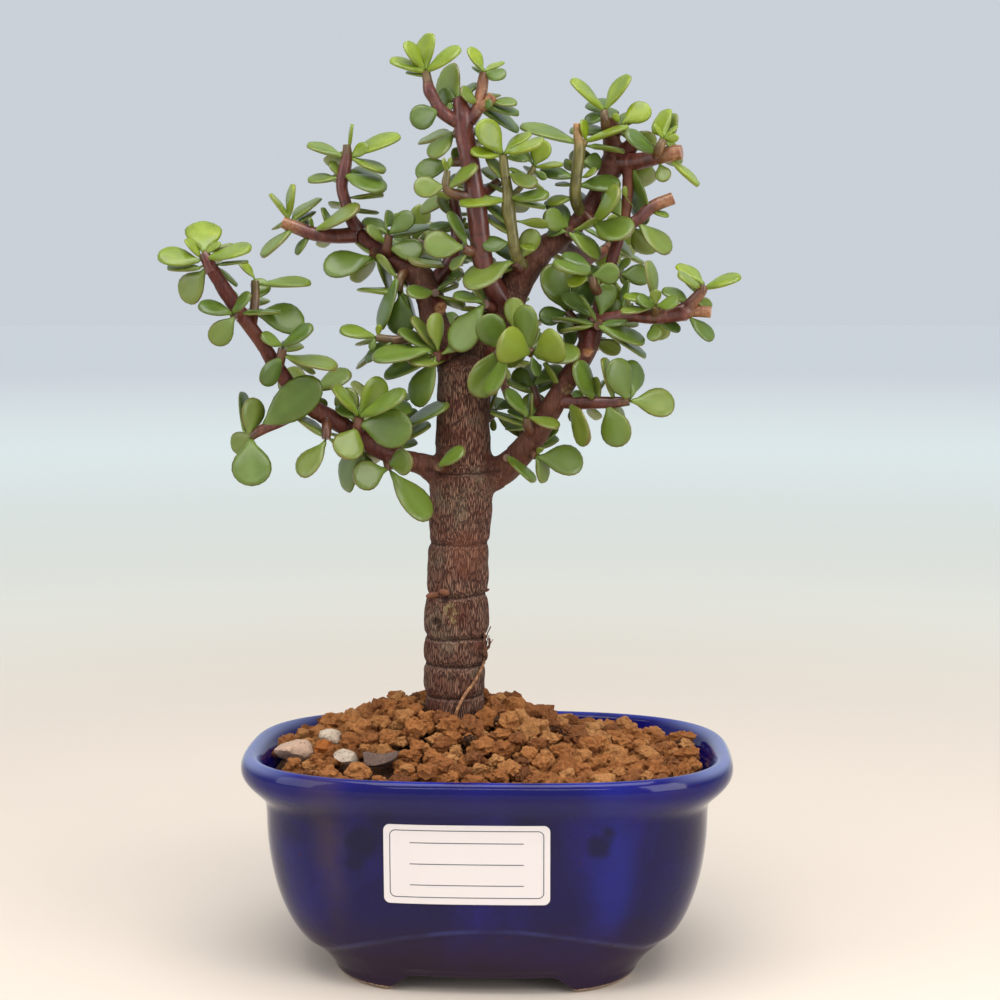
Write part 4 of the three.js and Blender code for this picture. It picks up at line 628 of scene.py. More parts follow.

# %% [markdown]
# ## The readings
# The tree itself can't be worked out from a formula. Every limb, stem and leaf that shows from the front was
# read, and a few limbs and shoots at the back are guessed. These lists are the same as the packed model's.
# A stem is a row of places, each with its radius. A leaf is one row of numbers: where its blade starts and
# ends, how wide it looks, which way it leans and how young it is.

# %% Wood: (across, height, depth, radius), in mm
LIMBS = [
    # trunk, from the buried foot to the fork
    [(-9.8,62,0,9.8), (-9.8,73,0,9.5), (-10,80,0,9.1), (-10,92,0,9.2), (-9.6,99,0,9.5), (-9.4,105,0,9.7),
     (-9.2,112,0,9.2), (-8.6,126,0,9), (-8,140,0,9.3), (-7.4,148,0,10.3), (-7.2,151,0,8.6), (-7.3,165,0,8),
     (-7,173,0,8.3), (-6.4,179,0,8.6)],
    # root that lies against the foot of the trunk
    [(-10.6,72,-9.5,1.1), (-7.6,79.3,-8.9,1), (-3.9,84.7,-6.9,0.9), (-1,90.5,-3.6,0.8)],
    # left low limb, out to the left tip
    [(-9,146,0,6.4), (-15,148.3,-1,4.4), (-20,150.6,-3,3.4), (-30,153.4,-5,2.6), (-38,158.5,-8,2.7),
     (-45,163.2,-10,2.9), (-52,167.3,-12,2.8), (-58,173,-14,2.4), (-63,180,-16,2.3), (-67,186.5,-18,2.1),
     (-73,195,-20,2.3), (-77,201,-21,2.3), (-81.5,208.5,-22,2.1)],
    # left middle limb, to the twig fork
    [(-7.6,176,0,6.6), (-12,185,2,5.2), (-15.5,192,4,4.3), (-17.2,199,6,4.1), (-19.5,205.5,8,4.3),
     (-24,208.6,9,3.4), (-29,211.4,10,2.6), (-33,214.8,11,2.3), (-38.2,219,12,2.2)],
    # short cut spur on the left middle limb
    [(-16,200,4,2.6), (-13.6,196.6,0,2.3)],
    # right main limb, to the upper right node
    [(-5,176,0,7), (-0.8,183,0,6.2), (3.2,192,1,5.6), (7.2,201,2,5.1), (11.6,209.5,3,5), (16,213.6,4,4),
     (23,218.8,5,3.4), (27.4,222.8,5,3.1), (31,228,6,2.8), (35,235,7,3.2), (37,239,8,3.6), (36.4,245,8,2.8),
     (36.4,252.3,8,2.5)],
    # cut stub beside the right main limb
    [(12.4,210,2,3.6), (12,217.6,0,3.3)],
    # short thick shoot at the upper right node
    [(38,239.4,8,2.9), (41.5,243.3,6,2.6), (43.6,246.2,5,2.3)],
    # right low limb and the limb that goes on up from it
    [(-5,146,0,6), (3,148,0,4.8), (9.5,153.4,-4,4.1), (15.3,161,-7,3.8), (20,169,-9,3.4), (24,176,-9,3.3),
     (28,182,-8,3.3), (30.6,188,-7,3.2), (32,193,-6,2.6), (33.4,198,-5,2.1), (34.8,203,-4,2),
     (37,212,-2,1.9), (39.5,220,0,1.9), (41,228,2,1.8), (41.2,236,4,1.8), (41,240,5,1.8)],
    # short cut stub that lies on the right low limb
    [(30.6,190,-9,2), (29.9,184.2,-11,1.9)],
    # guessed back limbs that fill the crown behind
    [(-5,178,2,4), (-4,185,14,2.8), (1,191,26,2.1), (3,195,36,1.5)],
    [(-18,203,8,2.8), (-21,207,20,2.2), (-23,211,31,1.7), (-22,215,40,1.3)],
    [(20,216.5,5,2.8), (26,213,18,2.2), (32,212,30,1.7), (36,215,40,1.3)],
    [(13,157.5,-4,2.6), (9,165,12,1.9), (5,174,25,1.5), (4,180,33,1.2)],
    [(-29,153.2,-4,2.1), (-32,157,8,1.7), (-33,161,20,1.4), (-32,165,29,1.1)],
]

# %% Leafy shoots
# Each is (name, stems, leaves); a stem is a row of places like a limb's. A leaf is (base across, base
# height, tip across, tip height, seen width, lean, youth). Lean is +1 where the tip leans away from the eye,
# -1 where it leans nearer and 2 for a strong lean. Youth runs from 0, an old dark leaf, to 1, a new one.
SHOOTS = [
    ("branch_centre",
     [[(4.5,198,0,3), (0.6,205.5,-3,2.7), (-1.4,211,-5,2.6), (-2.2,217,-6,2.6), (-3,225,-7,2.6),
       (-4.2,233,-7,2.5), (-5.4,241,-7,2.4), (-6.6,247,-7,2.4), (-7.3,253,-7,2.5), (-8.4,258.2,-7,1.5)],
      [(-2.4,213.4,-5,1.5), (-5.8,213.8,-8.4,1.3), (-7,214.4,-9,1.1)],
      [(-3.8,229,-7,1.5), (-8.5,230,-9,1.3), (-11.8,231.6,-10,1.2), (-11.8,237,-10,0.8)],
      [(-2.2,230,-6,1.6), (1,232,-3,1.3), (3.4,233.8,-2,1.2)],
      [(-5.2,240,-6,1.5), (-10.4,239.4,-2.4,1.1)],
      [(-6.6,247,-6,1.5), (-9.6,247.8,-4,1.1)],
      [(-7.4,250.6,-7,1.9), (-11,252.4,-8,1.7), (-13.8,254.5,-9,1.6), (-15.6,257.6,-9,1.4),
       (-16.9,260,-9,1.6), (-17.5,263,-9,1.2), (-18,265.6,-9,1.1)],
      [(-5.4,251.4,-7,1.9), (-3,254.6,-7,1.6), (-1.9,258.8,-6,1.5), (-1.3,262.5,-6,1.4),
       (-0.9,265.2,-6,1.2)],
      [(-2.8,255,-7,1.5), (-0.2,256.2,-8,1.3), (1.8,258.4,-8,1.5)]],
     [(-7,214.6,-19,215.5,8.2,-1,0.4), (-6.2,212.6,-10.8,208,3.4,1,0.3),
      (-12.4,232.4,-21.8,231.6,6.4,-1,0.55), (-11.6,231.8,-2.5,238.2,4.2,-1,0.6),
      (-11.9,237,-13.5,240,2,1,0.8), (-11.7,237.2,-10.6,240.8,1.8,1,0.8), (-11,239,-21.2,236,6.4,1,0.2),
      (-10.4,239.8,-8.4,243.4,3.2,2,0.3), (-10,247.4,-16.6,240.4,5.6,-1,0.25),
      (-10.2,247.8,-18.9,244.8,3,1,0.3), (-14.4,254.4,-22.4,251.2,7.2,-1,0.45),
      (-11.6,253.6,-10.6,256.6,2,1,0.5), (-18.5,265.4,-28.5,269,3.6,-1,0.85),
      (-18.6,266,-24.2,274,4.4,1,0.95), (-18,266,-17.5,276,6.4,1,0.85), (-17.4,265.6,-8,272.7,4.3,-1,0.85),
      (-17.2,266.6,-12,268.6,2,2,0.8), (-18.6,264.2,-23.6,265.4,2,2,0.6), (-1.2,265.6,-5.6,272.2,4,1,1),
      (-0.6,265.6,4.6,267.8,2.2,1,0.95), (-0.4,265,5.1,264.2,4.2,-1,0.5), (-3,256.4,-8.3,260.2,4,1,0.4),
      (-1.2,256.4,1.3,256,3,-1,0.4), (0.8,256.8,8.8,256.2,3.2,1,0.45), (-0.4,255.4,9.4,253.8,3.4,1,0.3),
      (-2.2,254.8,9.4,249.6,5,2,0.25), (-8.6,258.2,-12,265.6,9,2,0.45), (-9.2,257.6,-14.6,258.6,5.6,1,0.35),
      (-7.8,257.6,-4,262,4,2,0.3)]),
    ("branch_right_middle",
     [[(31.5,192.5,-7,2.2), (37.5,193.8,-10,1.8), (42,194.7,-12,1.7), (50,194.3,-15,1.8), (55,195,-17,1.9),
       (58.4,195.8,-18,2.3), (60.5,196,-18,1.5), (66.2,195.7,-19,1.4)],
      [(58.8,196.6,-18,1.7), (61,199,-19,1.5), (63.4,202,-20,1.3), (63.9,203.6,-20,1.1)],
      [(49.8,194.6,-15,1.3), (50,197.6,-19,1.1)]],
     [(49.6,197,44.2,200.2,3.6,-1,0.45), (49,198.4,40.4,200.8,3.4,1,0.7), (50,198.2,49.6,202.4,3.4,-1,0.5),
      (50.4,197.4,56.8,199,4.2,-1,0.6), (49.6,192.2,49.7,187,4.6,-1,0.3), (50.8,192.6,57.4,190.6,3.6,-1,0.4),
      (63.6,204,56.2,209.2,4,1,0.85), (62.6,203,56.6,206.3,3,-1,0.7), (64.4,202.6,75,206.3,3.9,-1,0.85),
      (61.6,198.6,66.3,197.6,3.6,2,0.5), (59.4,198.2,52,202.4,4.2,1,0.3), (60,193.8,66.9,187.3,4.6,-1,0.35),
      (43,195.8,42.6,198.4,1.2,-1,0.1)]),
    ("branch_upper_right",
     [[(38.5,239.2,7,2.6), (45,239.8,3,2.1), (50,241,0,1.9), (54,242,-2,2.1), (57,242.4,-3,1.8)],
      [(49.6,241,0,1.5), (50.4,243.4,-4,1.2), (51.6,246,-4,1)]],
     [(49,242.2,40.8,248,4.8,-1,0.45), (51.3,246.2,49.1,250.8,2.2,1,0.95), (51.8,246.8,51,254,6.8,1,0.95),
      (52,246.2,56.3,246.6,2.6,1,0.95), (52.4,246.6,55.4,250,2.2,2,0.85), (51.6,245.2,55.4,243.8,2.2,2,0.8),
      (50.6,239,52.4,233.6,4.8,-1,0.3), (54,240,61.6,232,2.6,1,0.9), (42.8,237.6,46.6,221.2,6.2,-1,0.45)]),
    ("shoot_left_tip",
     [[(-81.9,209,-22,1.7), (-83,211.5,-22,1.5), (-84,213,-22,1.1)]],
     [(-83.6,213.5,-83.8,222.5,10.6,1,0.9), (-84.5,211.5,-89.3,216.8,3,1,0.9),
      (-83.5,212.5,-78.8,216.3,2.5,1,0.8), (-85,210.6,-97.5,212.3,6,-1,0.8),
      (-84.8,208.5,-94.5,208.6,3.5,1,0.5), (-83.5,208,-89.5,199.3,8,2,0.5),
      (-82.5,211.5,-69.9,214.2,4.5,-1,0.8), (-82,213.5,-75.6,214.8,1.6,2,0.6)]),
    ("shoot_left_outer",
     [[(-73.2,195,-20,1.6), (-75.2,195.2,-23.4,1.2)]],
     [(-75.8,195.2,-85.7,198,4.8,-1,0.5), (-75.3,195.5,-70.3,201.2,3.6,-1,0.5),
      (-75,194.2,-82,186.5,7,-1,0.35)]),
    ("shoot_left_outer_top",
     [[(-70.2,191.4,-19,1.5), (-69.2,196,-17,1.2), (-68.7,201,-16,1.1), (-68.7,205,-16,1)]],
     [(-68.9,205.8,-73.5,210.3,3,1,0.8), (-68.6,199.5,-66.3,205.2,6,1,0.6),
      (-66.5,203.8,-52,204.2,3.8,1,0.6), (-68.2,195.2,-54,192.5,9,-1,0.5)]),
    ("shoot_left_mid",
     [[(-62.5,179,-16,1.5), (-61.3,182.5,-18.5,1.2), (-60.8,185,-19,1.1)]],
     [(-61,185.8,-67.3,188.7,4,1,0.5), (-60.4,185.8,-52,191.5,4.5,1,0.45), (-60,182.6,-44.8,178,5,-1,0.45),
      (-61.4,182.4,-66.8,174.2,6,-1,0.35)]),
    ("shoot_left_low_tip",
     [[(-54.5,167.6,-12,1.7), (-61,163.6,-14,1.4), (-68,160.4,-15,1.3), (-70.6,158.6,-15,1)],
      [(-55.6,167.4,-12,1.3), (-52.4,171,-6.4,1.1)]],
     [(-51.6,172.4,-40.3,177.5,6,1,0.3), (-52.6,171.8,-61,177,9,2,0.3), (-51.6,170.6,-48.4,167,4,2,0.2),
      (-71,158.8,-70,170.5,7,1,0.45), (-72.6,160,-72,171.8,5,2,0.35), (-70.6,157.8,-70.5,143.8,11.5,-1,0.4),
      (-67,161.6,-50,175.5,11,-2,0.5), (-70,159.6,-75.5,155,7,2,0.3)]),
    ("shoot_left_under",
     [[(-48,165,-11,1.4), (-48,160.4,-15,1.2), (-48.2,158,-15.6,1.1)]],
     [(-48.6,158.6,-57,164.3,3.3,-1,0.4), (-48.4,157.2,-55.5,146.3,7,-1,0.3)]),
    ("shoot_left_inner",
     [[(-39,159,-8,1.6), (-38.6,161.6,-13,1.4), (-38.3,164.6,-14,1.2)]],
     [(-38.6,165.3,-46.7,173.8,4.2,-1,0.7), (-38.2,165.4,-31,176,8,1,0.7),
      (-37.8,164.8,-24.4,171.5,5.5,-1,0.6), (-37.9,162.5,-22.4,160.2,11.5,-2,0.4),
      (-37,166.2,-22.9,168.5,7,2,0.3), (-39.4,163.9,-45,168,4,2,0.2),
      (-38.9,161.4,-43.6,151.8,9.5,-2,0.55)]),
    ("shoot_left_inner_under",
     [[(-37.8,158,-7,1.4), (-38.6,154.4,-4.6,1.1)]],
     [(-38.8,153.6,-43.3,143.6,7.5,2,0.25), (-38,154,-35.6,146,6,2,0.2)]),
    ("shoot_left_near_trunk",
     [[(-29.8,153,-5,1.6), (-29.6,150,-9,1.2), (-29.4,148.8,-9.4,1)]],
     [(-30.3,149,-40.5,145.8,9,-1,0.25), (-29.4,150.4,-22.2,151.8,8,-2,0.4),
      (-28.8,148,-18,133.2,8.5,-1,0.35)]),
    ("shoot_left_near_trunk_top",
     [[(-27.5,152.6,-5,1.6), (-27,157,-2.4,1.2), (-26.6,160.6,-2,1)]],
     [(-26,161.4,-11.4,168.4,4.6,-1,0.4), (-26.4,157.2,-16.8,162.3,4,1,0.4)]),
    ("shoot_trunk_left",
     [[(-13,149,-6,1.4), (-14.6,149.6,-11,1)]],
     [(-14.6,149.9,-6.6,154.8,4.6,-1,0.5)]),
    ("shoot_mid_left_top",
     [[(-37.8,219.3,12,2), (-40.2,223,12,1.6), (-41.8,228,12,1.5), (-42.8,232.5,12,1.5), (-42,237,12,1.7),
       (-41.2,241,12,1.4), (-41.2,244.5,12,1)]],
     [(-42.6,241,-52.9,244.4,3.8,1,0.6), (-39.6,241.5,-25.5,247.5,5,1,0.85),
      (-40.4,244,-39.3,250.5,1.6,1,0.9), (-40,240.8,-35,244.5,4,-1,0.8), (-39.6,240.4,-30.1,236,3.7,-1,0.75),
      (-44,234.7,-52.8,234,3.5,1,0.6), (-43.6,235.4,-46.3,239.7,3.2,1,0.6), (-41.8,235.8,-30.3,231,6,-1,0.5),
      (-40.6,236.8,-31.5,234.5,4,2,0.4)]),
    ("shoot_mid_left_end",
     [[(-40,218.3,12,2.1), (-45,218,12,1.9), (-51,218.6,12,1.8), (-56.5,220.5,12,1.7), (-60.3,222,12,1.5)]],
     [(-50.6,219.8,-37,225,5.2,-1,0.5), (-46.5,219.5,-48.4,226,3,2,0.4), (-52.5,218,-56.5,212.5,3,1,0.3),
      (-51.5,220.3,-52.3,223.3,1.6,1,0.6), (-58.4,223,-64.4,229.9,2,1,0.8),
      (-58.5,223.4,-56.4,233,2.8,1,0.8), (-57.4,222.6,-49.9,228.5,3.6,1,0.7),
      (-57.4,220,-66.5,211.4,3.8,-1,0.4)]),
    ("shoot_mid_left_under",
     [[(-33,214.6,11,1.5), (-33.8,211.8,7.5,1.1)]],
     [(-34.6,211.6,-48.5,208,8.4,-1,0.25), (-32.8,210.9,-38,209.8,2.2,1,0.5),
      (-34.6,213,-38.6,216,2.5,2,0.2), (-32.6,211,-29,203,4.5,2,0.2)]),
    ("shoot_mid_left_inner",
     [[(-29.4,211.6,10,1.5), (-29.6,214.6,6.5,1.3), (-29,218.4,6,1.1)]],
     [(-29.8,219,-35.9,222.6,4.5,2,0.3), (-28.7,218.8,-21.7,224.6,6,1,0.5), (-30,216,-36,220.4,3.7,-1,0.45),
      (-29,214.4,-18.8,213.4,7,-1,0.35), (-28,217.6,-17.3,221.6,4.6,2,0.35), (-30,220.5,-28.4,225,4,2,0.2)]),
    ("shoot_mid_limb_under",
     [[(-23,207.6,8,1.5), (-25.6,205.8,3,1.2), (-26.4,201.6,2,1.1)]],
     [(-26.2,206.2,-32.4,190.6,4.5,-1,0.45), (-25.8,200.4,-25.6,188.6,8.5,1,0.2),
      (-25.4,203.4,-25.6,199.8,1.8,1,0.9), (-27.4,201,-37,202.6,2.8,1,0.7),
      (-25,200.8,-21.2,192.8,3,2,0.3)]),
    ("shoot_mid_limb_front",
     [[(-17,200.6,4,1.4), (-15.4,201.4,-1.6,1)]],
     [(-15.8,201.4,-24,201,4.8,-2,0.35)]),
    ("shoot_left_twig",
     [[(-15,189.2,3,1.6), (-21,188.4,-1,1.2), (-27,187.4,-2,1.2), (-33,188.2,-3,1)]],
     [(-33.6,188.4,-44,190.4,4.5,-1,0.65), (-33.4,188,-34.6,184.4,2.4,1,0.5), (-32.6,188.6,-32,192,2,-1,0.8),
      (-27,188,-36.6,181.4,4,1,0.4), (-29,187,-37.4,179.4,2.4,2,0.4)]),
    ("shoot_fork_left",
     [[(-12,183,0,1.6), (-15.4,182.4,-8.6,1.3)]],
     [(-17,184.4,-34.4,181.6,6,-1,0.4), (-17,181.4,-30.6,177.4,6,2,0.25), (-15.6,181.2,-21.4,167.8,8,1,0.35),
      (-12.6,181.6,-23.8,180.3,5.5,-2,0.4)]),
    ("shoot_fork_front",
     [[(2.4,196,-1,1.6), (-0.8,198,-8,1.2)]],
     [(-1.6,197.6,-9.5,184,9.4,-1,0.15), (-1.8,198.8,-10.3,200.6,3.8,1,0.4)]),
    ("shoot_main_front",
     [[(10,208,0,1.6), (8,210.4,-6.6,1.2)]],
     [(7.2,210.6,-6.6,202.4,7.8,-1,0.5)]),
    ("shoot_olive_stem",
     [[(10.6,209.5,-1,1.9), (8.6,212,-6.5,1.8), (7.2,220,-8.5,1.75), (6.2,226,-9,2.2), (6,230.5,-9,1.7),
       (5.2,236,-9,1.5), (4.6,241.6,-9,1.3)],
      [(6.4,229,-9,1.1), (10.5,233,-5,0.9), (13.6,238,-4,0.9)]],
     [(6.4,215.8,-1.6,215.4,5,-1,0.4), (9,215.2,14.4,214,2.8,-1,0.7), (6.4,218.6,-0.3,223.4,3.6,2,0.3),
      (6,221.4,0.4,227.4,4,2,0.25), (5,228.4,-8.4,227.3,4.3,-1,0.75), (7.4,229,17.8,229.7,4,-1,0.6),
      (7.4,227.8,17.2,226.4,2.2,1,0.4), (6.6,236,13.9,231.6,5,-1,0.45), (6.6,237.6,16.2,231.4,2,1,0.7),
      (4.2,234.6,0,240.6,3.8,2,0.2), (4.4,241.8,-2.8,251.2,7.6,1,0.95), (3.6,241.2,-5.1,242.3,3.8,-1,0.9),
      (4,242,-3.2,248,2.6,2,0.4), (5.6,242.2,16.4,243.8,4.4,1,0.85), (5.4,242.4,12.4,247.8,3.6,2,0.8),
      (5.4,240.8,12,240.2,3,2,0.3), (13.8,238.6,16.8,246,6.4,1,0.9), (14.2,238,22.3,238.2,2.2,1,0.8),
      (14,237,17.4,234.6,2.4,1,0.5), (13,239.4,9.2,243.4,3,-1,0.6)]),
    ("shoot_behind_upright",
     [[(-16,204.4,8,2), (-11,210.6,8,1.8), (-9,217,8,1.7), (-9.3,223,8,1.7), (-10,229.6,8,1.2)]],
     [(-10.4,229.4,-19.4,225,4.6,1,0.2), (-10.2,224.4,-15.3,228.6,4,-1,0.3),
      (-9.8,221.4,-17.4,220.4,3.2,-1,0.3), (-8.4,218.4,-6.4,223.4,2.2,1,0.6),
      (-11.6,210.8,-8.8,205.3,4,-1,0.25), (-13.4,209.8,-21.5,208.8,4.5,-1,0.4),
      (-9.6,228.6,-3.8,233,5,2,0.2)]),
    ("shoot_trunk_front",
     [[(0,183,-3,1.8), (2.6,183.8,-9.5,1.4), (4.4,183.6,-11,1.1)]],
     [(3,184.4,-4.4,170.8,9.6,-1,0.35), (4.6,184.8,-1.4,194.6,9,-1,0.35), (5,182.4,1.4,171,6,-2,0.35)]),
    ("shoot_fork_right",
     [[(5.4,190,-3,1.6), (10,186.4,-11,1.4), (13.3,183.4,-13,1.2)]],
     [(12.6,183.6,3.4,187,11.2,-2,0.6), (12.6,184.8,11.4,198,7.6,-1,0.55), (14.2,183.3,22.4,187,10.4,-1,0.6),
      (14.4,182.4,27.8,182.8,6.6,1,0.4), (13.2,185.6,15.6,190.8,1.8,1,0.4),
      (13,182.4,15.2,176.6,3.4,-1,0.4)]),
    ("shoot_low_right_inner",
     [[(17,165.4,-8,1.5), (14.6,170,-3,1.2), (13.6,173.6,-2,1)]],
     [(13.4,173.6,7.6,177.8,6.4,1,0.2), (14,174.4,22.6,179,5.4,1,0.3), (13.4,171.8,5.4,174.8,3,-1,0.3)]),
    ("shoot_low_right_front",
     [[(13.6,159.6,-7,1.5), (11.9,162.4,-13.4,1.2), (12,164.4,-14,1)]],
     [(11.8,165,5,172.8,4.5,-1,0.4), (12.8,164.4,21.3,161,4,-1,0.55), (11.2,163.4,6.4,167,3,2,0.2)]),
    ("shoot_trunk_right",
     [[(-2,163,3,1.4), (1,165,6.4,1.1), (2.4,166.4,7,1)]],
     [(2.4,165.8,11.3,158.8,5.8,-1,0.35), (3,167.6,8.8,169,3.6,1,0.5), (1.6,164.6,1.8,160.4,2.2,1,0.6)]),
    ("shoot_low_right_bud",
     [[(12,155.6,-5,1.4), (14.4,153,-8.6,1.1)]],
     [(15.2,152.6,28.6,150.6,9.2,1,0.25), (14.6,152.2,17,145.4,4.8,-1,0.45),
      (14.8,153.6,16.2,155.6,2,2,0.3)]),
    ("shoot_low_right_foot",
     [[(6.4,151,-2,1.4), (5.8,152.4,-9,1)]],
     [(5.9,152.6,14,145.6,3.3,-1,0.55)]),
    ("shoot_low_right_side",
     [[(21,169.6,-9,2), (27,168.9,-12,1.7), (34,168.9,-14,1.5), (38,169,-15,1.4), (42.2,169.3,-16,1.1)]],
     [(24.4,168.6,31.4,157.4,6.6,-1,0.5), (28.4,167.6,24.8,164.6,4,2,0.2), (31,167.6,32,163.6,4.4,2,0.25),
      (31.4,170,26.4,180.6,6.2,-1,0.55), (33.4,170,32.2,176.6,3.4,1,0.25), (29,170,25.2,171.8,3,1,0.2),
      (35.8,168.2,40.4,155.8,9,-1,0.5), (37.6,168,40.2,162.6,3,2,0.5), (37.4,170.2,33.8,182.2,3.9,-1,0.6),
      (41.5,170,37.4,181.6,8.2,-1,0.55), (43,171,43.6,181.4,6.4,2,0.35), (42.9,169.4,55.6,167.8,8.6,1,0.6)]),
    ("shoot_right_limb_left",
     [[(30.4,187.4,-7,1.6), (27.4,191.6,-2,1.3), (23.8,195.6,0,1.1)]],
     [(23.4,196.4,17.4,209.6,9.4,-1,0.35), (24,196.2,31.8,203.6,8,1,0.2), (23.2,195.4,15.4,193.9,6,-1,0.4),
      (26.6,192,20.5,190.8,4.5,1,0.2), (27,191.4,23,186.4,5,2,0.2)]),
    ("shoot_right_limb_front",
     [[(34,200,-5,1.5), (31.6,203.4,-9.5,1.2), (30.8,206.4,-10,1.1)]],
     [(31.2,206.4,39.2,207.4,6.4,-1,0.45), (30.2,206,23.8,203.4,3.8,1,0.8),
      (30.2,207.6,20.7,208.8,4.3,-1,0.4), (30.4,208.4,22.2,213,4.2,1,0.25)]),
    ("shoot_right_limb_right",
     [[(35.8,206,-4,1.5), (38.6,206.8,-1,1.1)]],
     [(39.2,206.8,48.2,206.2,6.4,1,0.3), (38.8,206,41.6,204.2,2.4,2,0.3), (38.8,207.8,42,211.4,3,2,0.2),
      (37.4,204.8,38.8,195,7.4,2,0.25)]),
    ("shoot_right_main_front",
     [[(24.6,220,3,1.5), (24,219,-2.6,1.1)]],
     [(24,219,33,211.4,5.3,-1,0.5), (23.4,220.4,16.4,224.2,6.6,-1,0.5), (25.2,219.8,31.8,214.4,3,2,0.25),
      (23,219.4,17.6,219,3.4,2,0.2)]),
    ("shoot_right_main_side",
     [[(28.6,224.6,4,1.5), (31.2,222,1,1.2)]],
     [(31.4,221.4,42.6,218.2,8.6,-1,0.3), (31.6,220.8,42.8,213.2,4.6,1,0.75),
      (31.4,222.6,39.5,230.6,6.2,-1,0.65)]),
    ("shoot_olive_right",
     [[(27.6,224.4,4,1.9), (25.9,229,1,1.9), (26.1,235,0,1.8), (26.7,240,0,1.9), (27,244,0,1.8),
       (26.4,247.5,0,1.3), (26.4,250.6,0,1.3)],
      [(27.2,242.6,0,1.2), (28.7,245.6,1,1)]],
     [(26,245,9.6,250.4,4.6,1,0.6), (28.9,245.6,27.4,251.8,3,1,0.95), (29,245.4,41.6,249.5,2.5,-1,0.8),
      (28,239.4,33.4,239.6,5.5,2,0.25), (25.2,239.4,22.4,238,4,2,0.3), (25,235,15.3,237.3,4.4,-1,0.45),
      (25,232.8,20,232.8,2,2,0.15), (24.8,228.9,17.2,227.8,3.6,1,0.8), (27.4,232.6,39.3,233.6,5.6,-1,0.5),
      (28,235,32.4,237,2.6,2,0.6)]),
    ("shoot_upper_right_top",
     [[(35.2,247,8,1.5), (34.4,252,3.6,1.2), (34.2,254.4,4,1)]],
     [(33.8,254.6,24,263,3.9,-1,0.9), (34.6,254.8,41.8,264.2,4.8,1,0.85),
      (34.6,252.4,28.3,251.8,3.8,-1,0.3)]),
    ("shoot_upper_right_side",
     [[(37.4,247,8,1.4), (39,250,4.4,1.1)]],
     [(39.6,250.8,47.6,255.4,6.6,1,0.9), (38.6,250.8,37,253.6,2.2,1,0.95)]),
    ("shoot_right_limb_cut",
     [[(39.8,221,0,1.6), (43.8,222.4,-1,1.5), (48.4,226.4,-1,1.6), (54.6,229,-1,1.6)]],
     [(44.6,221.6,53.4,212.4,6.4,-1,0.5), (48.4,225,53.5,223.7,2.4,-1,0.6), (40.8,229,40.4,232.4,2,2,0.5)]),
    ("shoot_right_mid_front",
     [[(33.2,193,-8,1.4), (32.8,191.6,-12.6,1.1)]],
     [(33,191.4,46.7,186.4,4.9,-1,0.5), (33.6,191,47.4,183,3.6,1,0.45), (33.6,191.6,41.6,193.6,3.4,-1,0.3)]),
    ("shoot_back_centre",
     [[(2.6,194.4,34,1.3), (3.4,197,42,1.1)],
      [(3.4,197,42,1.1), (-4,193,40,1), (-8,189.6,34,1)]],
     [(3,196.6,-3.4,191,8,2,0.4), (3.6,196.8,10,191,8,2,0.45), (3.2,197,3,186,8.5,1,0.4),
      (-8,190,-13.4,194.4,7,2,0.35), (-8.4,189,-13.2,184,8,2,0.3), (-7.4,189,-3,181,8.5,1,0.35)]),
    ("shoot_back_left",
     [[(-22.2,213.6,37,1.2), (-21.6,216.6,45,1.1)],
      [(-21.6,216.6,45,1.1), (-14,213.4,41,1), (-11.6,210.4,34,1)]],
     [(-22,216.4,-28.6,212.4,8,1,0.4), (-21.4,216.6,-14.6,216,8.5,2,0.45), (-21.8,215.6,-21.4,207,9,1,0.35),
      (-11.2,211.2,-5,214.6,8,1,0.35), (-11.6,209.8,-9.6,203.6,8,2,0.3), (-14.4,214.4,-17,221,7,1,0.3)]),
    ("shoot_back_right",
     [[(35,214,37,1.2), (37.6,217,44,1.1)],
      [(37.6,217,44,1.1), (30,210.4,42,1), (26,206.4,36,1)]],
     [(37.4,217.4,40.6,222.4,8,2,0.45), (37.8,216.6,42,212.4,8.5,1,0.4), (37,216.6,34.4,208.4,9,1,0.35),
      (26,206.6,20.4,202,8.5,2,0.3), (26,206.4,28.6,197.4,9,1,0.35), (26.4,207.6,34,205,7,2,0.3)]),
    ("shoot_back_low",
     [[(4.2,178.8,31,1.1), (3.6,182,38,0.9)]],
     [(3.4,182.2,-3.2,179.4,8,2,0.4), (3.8,182.4,9.4,186,8.5,2,0.4), (3.8,181.4,2.6,173.8,8.5,1,0.35)]),
    ("shoot_back_far_left",
     [[(-32.2,164,27,1), (-31.6,167,33,0.9)]],
     [(-31.8,167.2,-36.4,172.6,7.5,2,0.4), (-31.2,167,-25.6,163,8,2,0.4),
      (-31.6,166.4,-31.4,157.4,8.5,1,0.35), (-32.4,165,-37,160.4,7,2,0.3)]),
]

# %% [markdown]
# ## Where every leaf sits
# A reading gives a leaf's outline but not its tilt. A leaf of this plant is about three quarters as wide
# as it is long, so a row that looks narrower is turned edge on, and one that looks shorter leans towards
# the eye or away. From this each leaf gets its direction, and a roll about it. Then neighbours that would
# touch are leaned apart a little, round after round, until they clear each other, just as leaves grow
# past each other. Some more rounds with more places on each blade find the smaller crossings.

# %% Sizes of a leaf, and how leaves settle
LEAF = {"width_of_length": 0.74, "widest": 11, "longest": 17, "edge": 1.2, "small": 4.5,
        "small_fullness": 0.7, "half_thick": (0.55, 1.05), "thick_of_width": 0.11, "heel_depth": 0.35}
LEAN = {"light": 0.15, "strong": 0.55, "at_base": 0.08, "skyward": 0.35}
SETTLE = {"rounds": 40, "clearance": 2.6, "fine_rounds": 30, "fine_clearance": 1.8, "step": 0.7, "reach": 16,
          "same_heel": 3, "limb_margin": 1.5, "limb_reach": 12, "limb_step": 0.3, "balls": 4}
BLADE_MIDDLE = 0.6
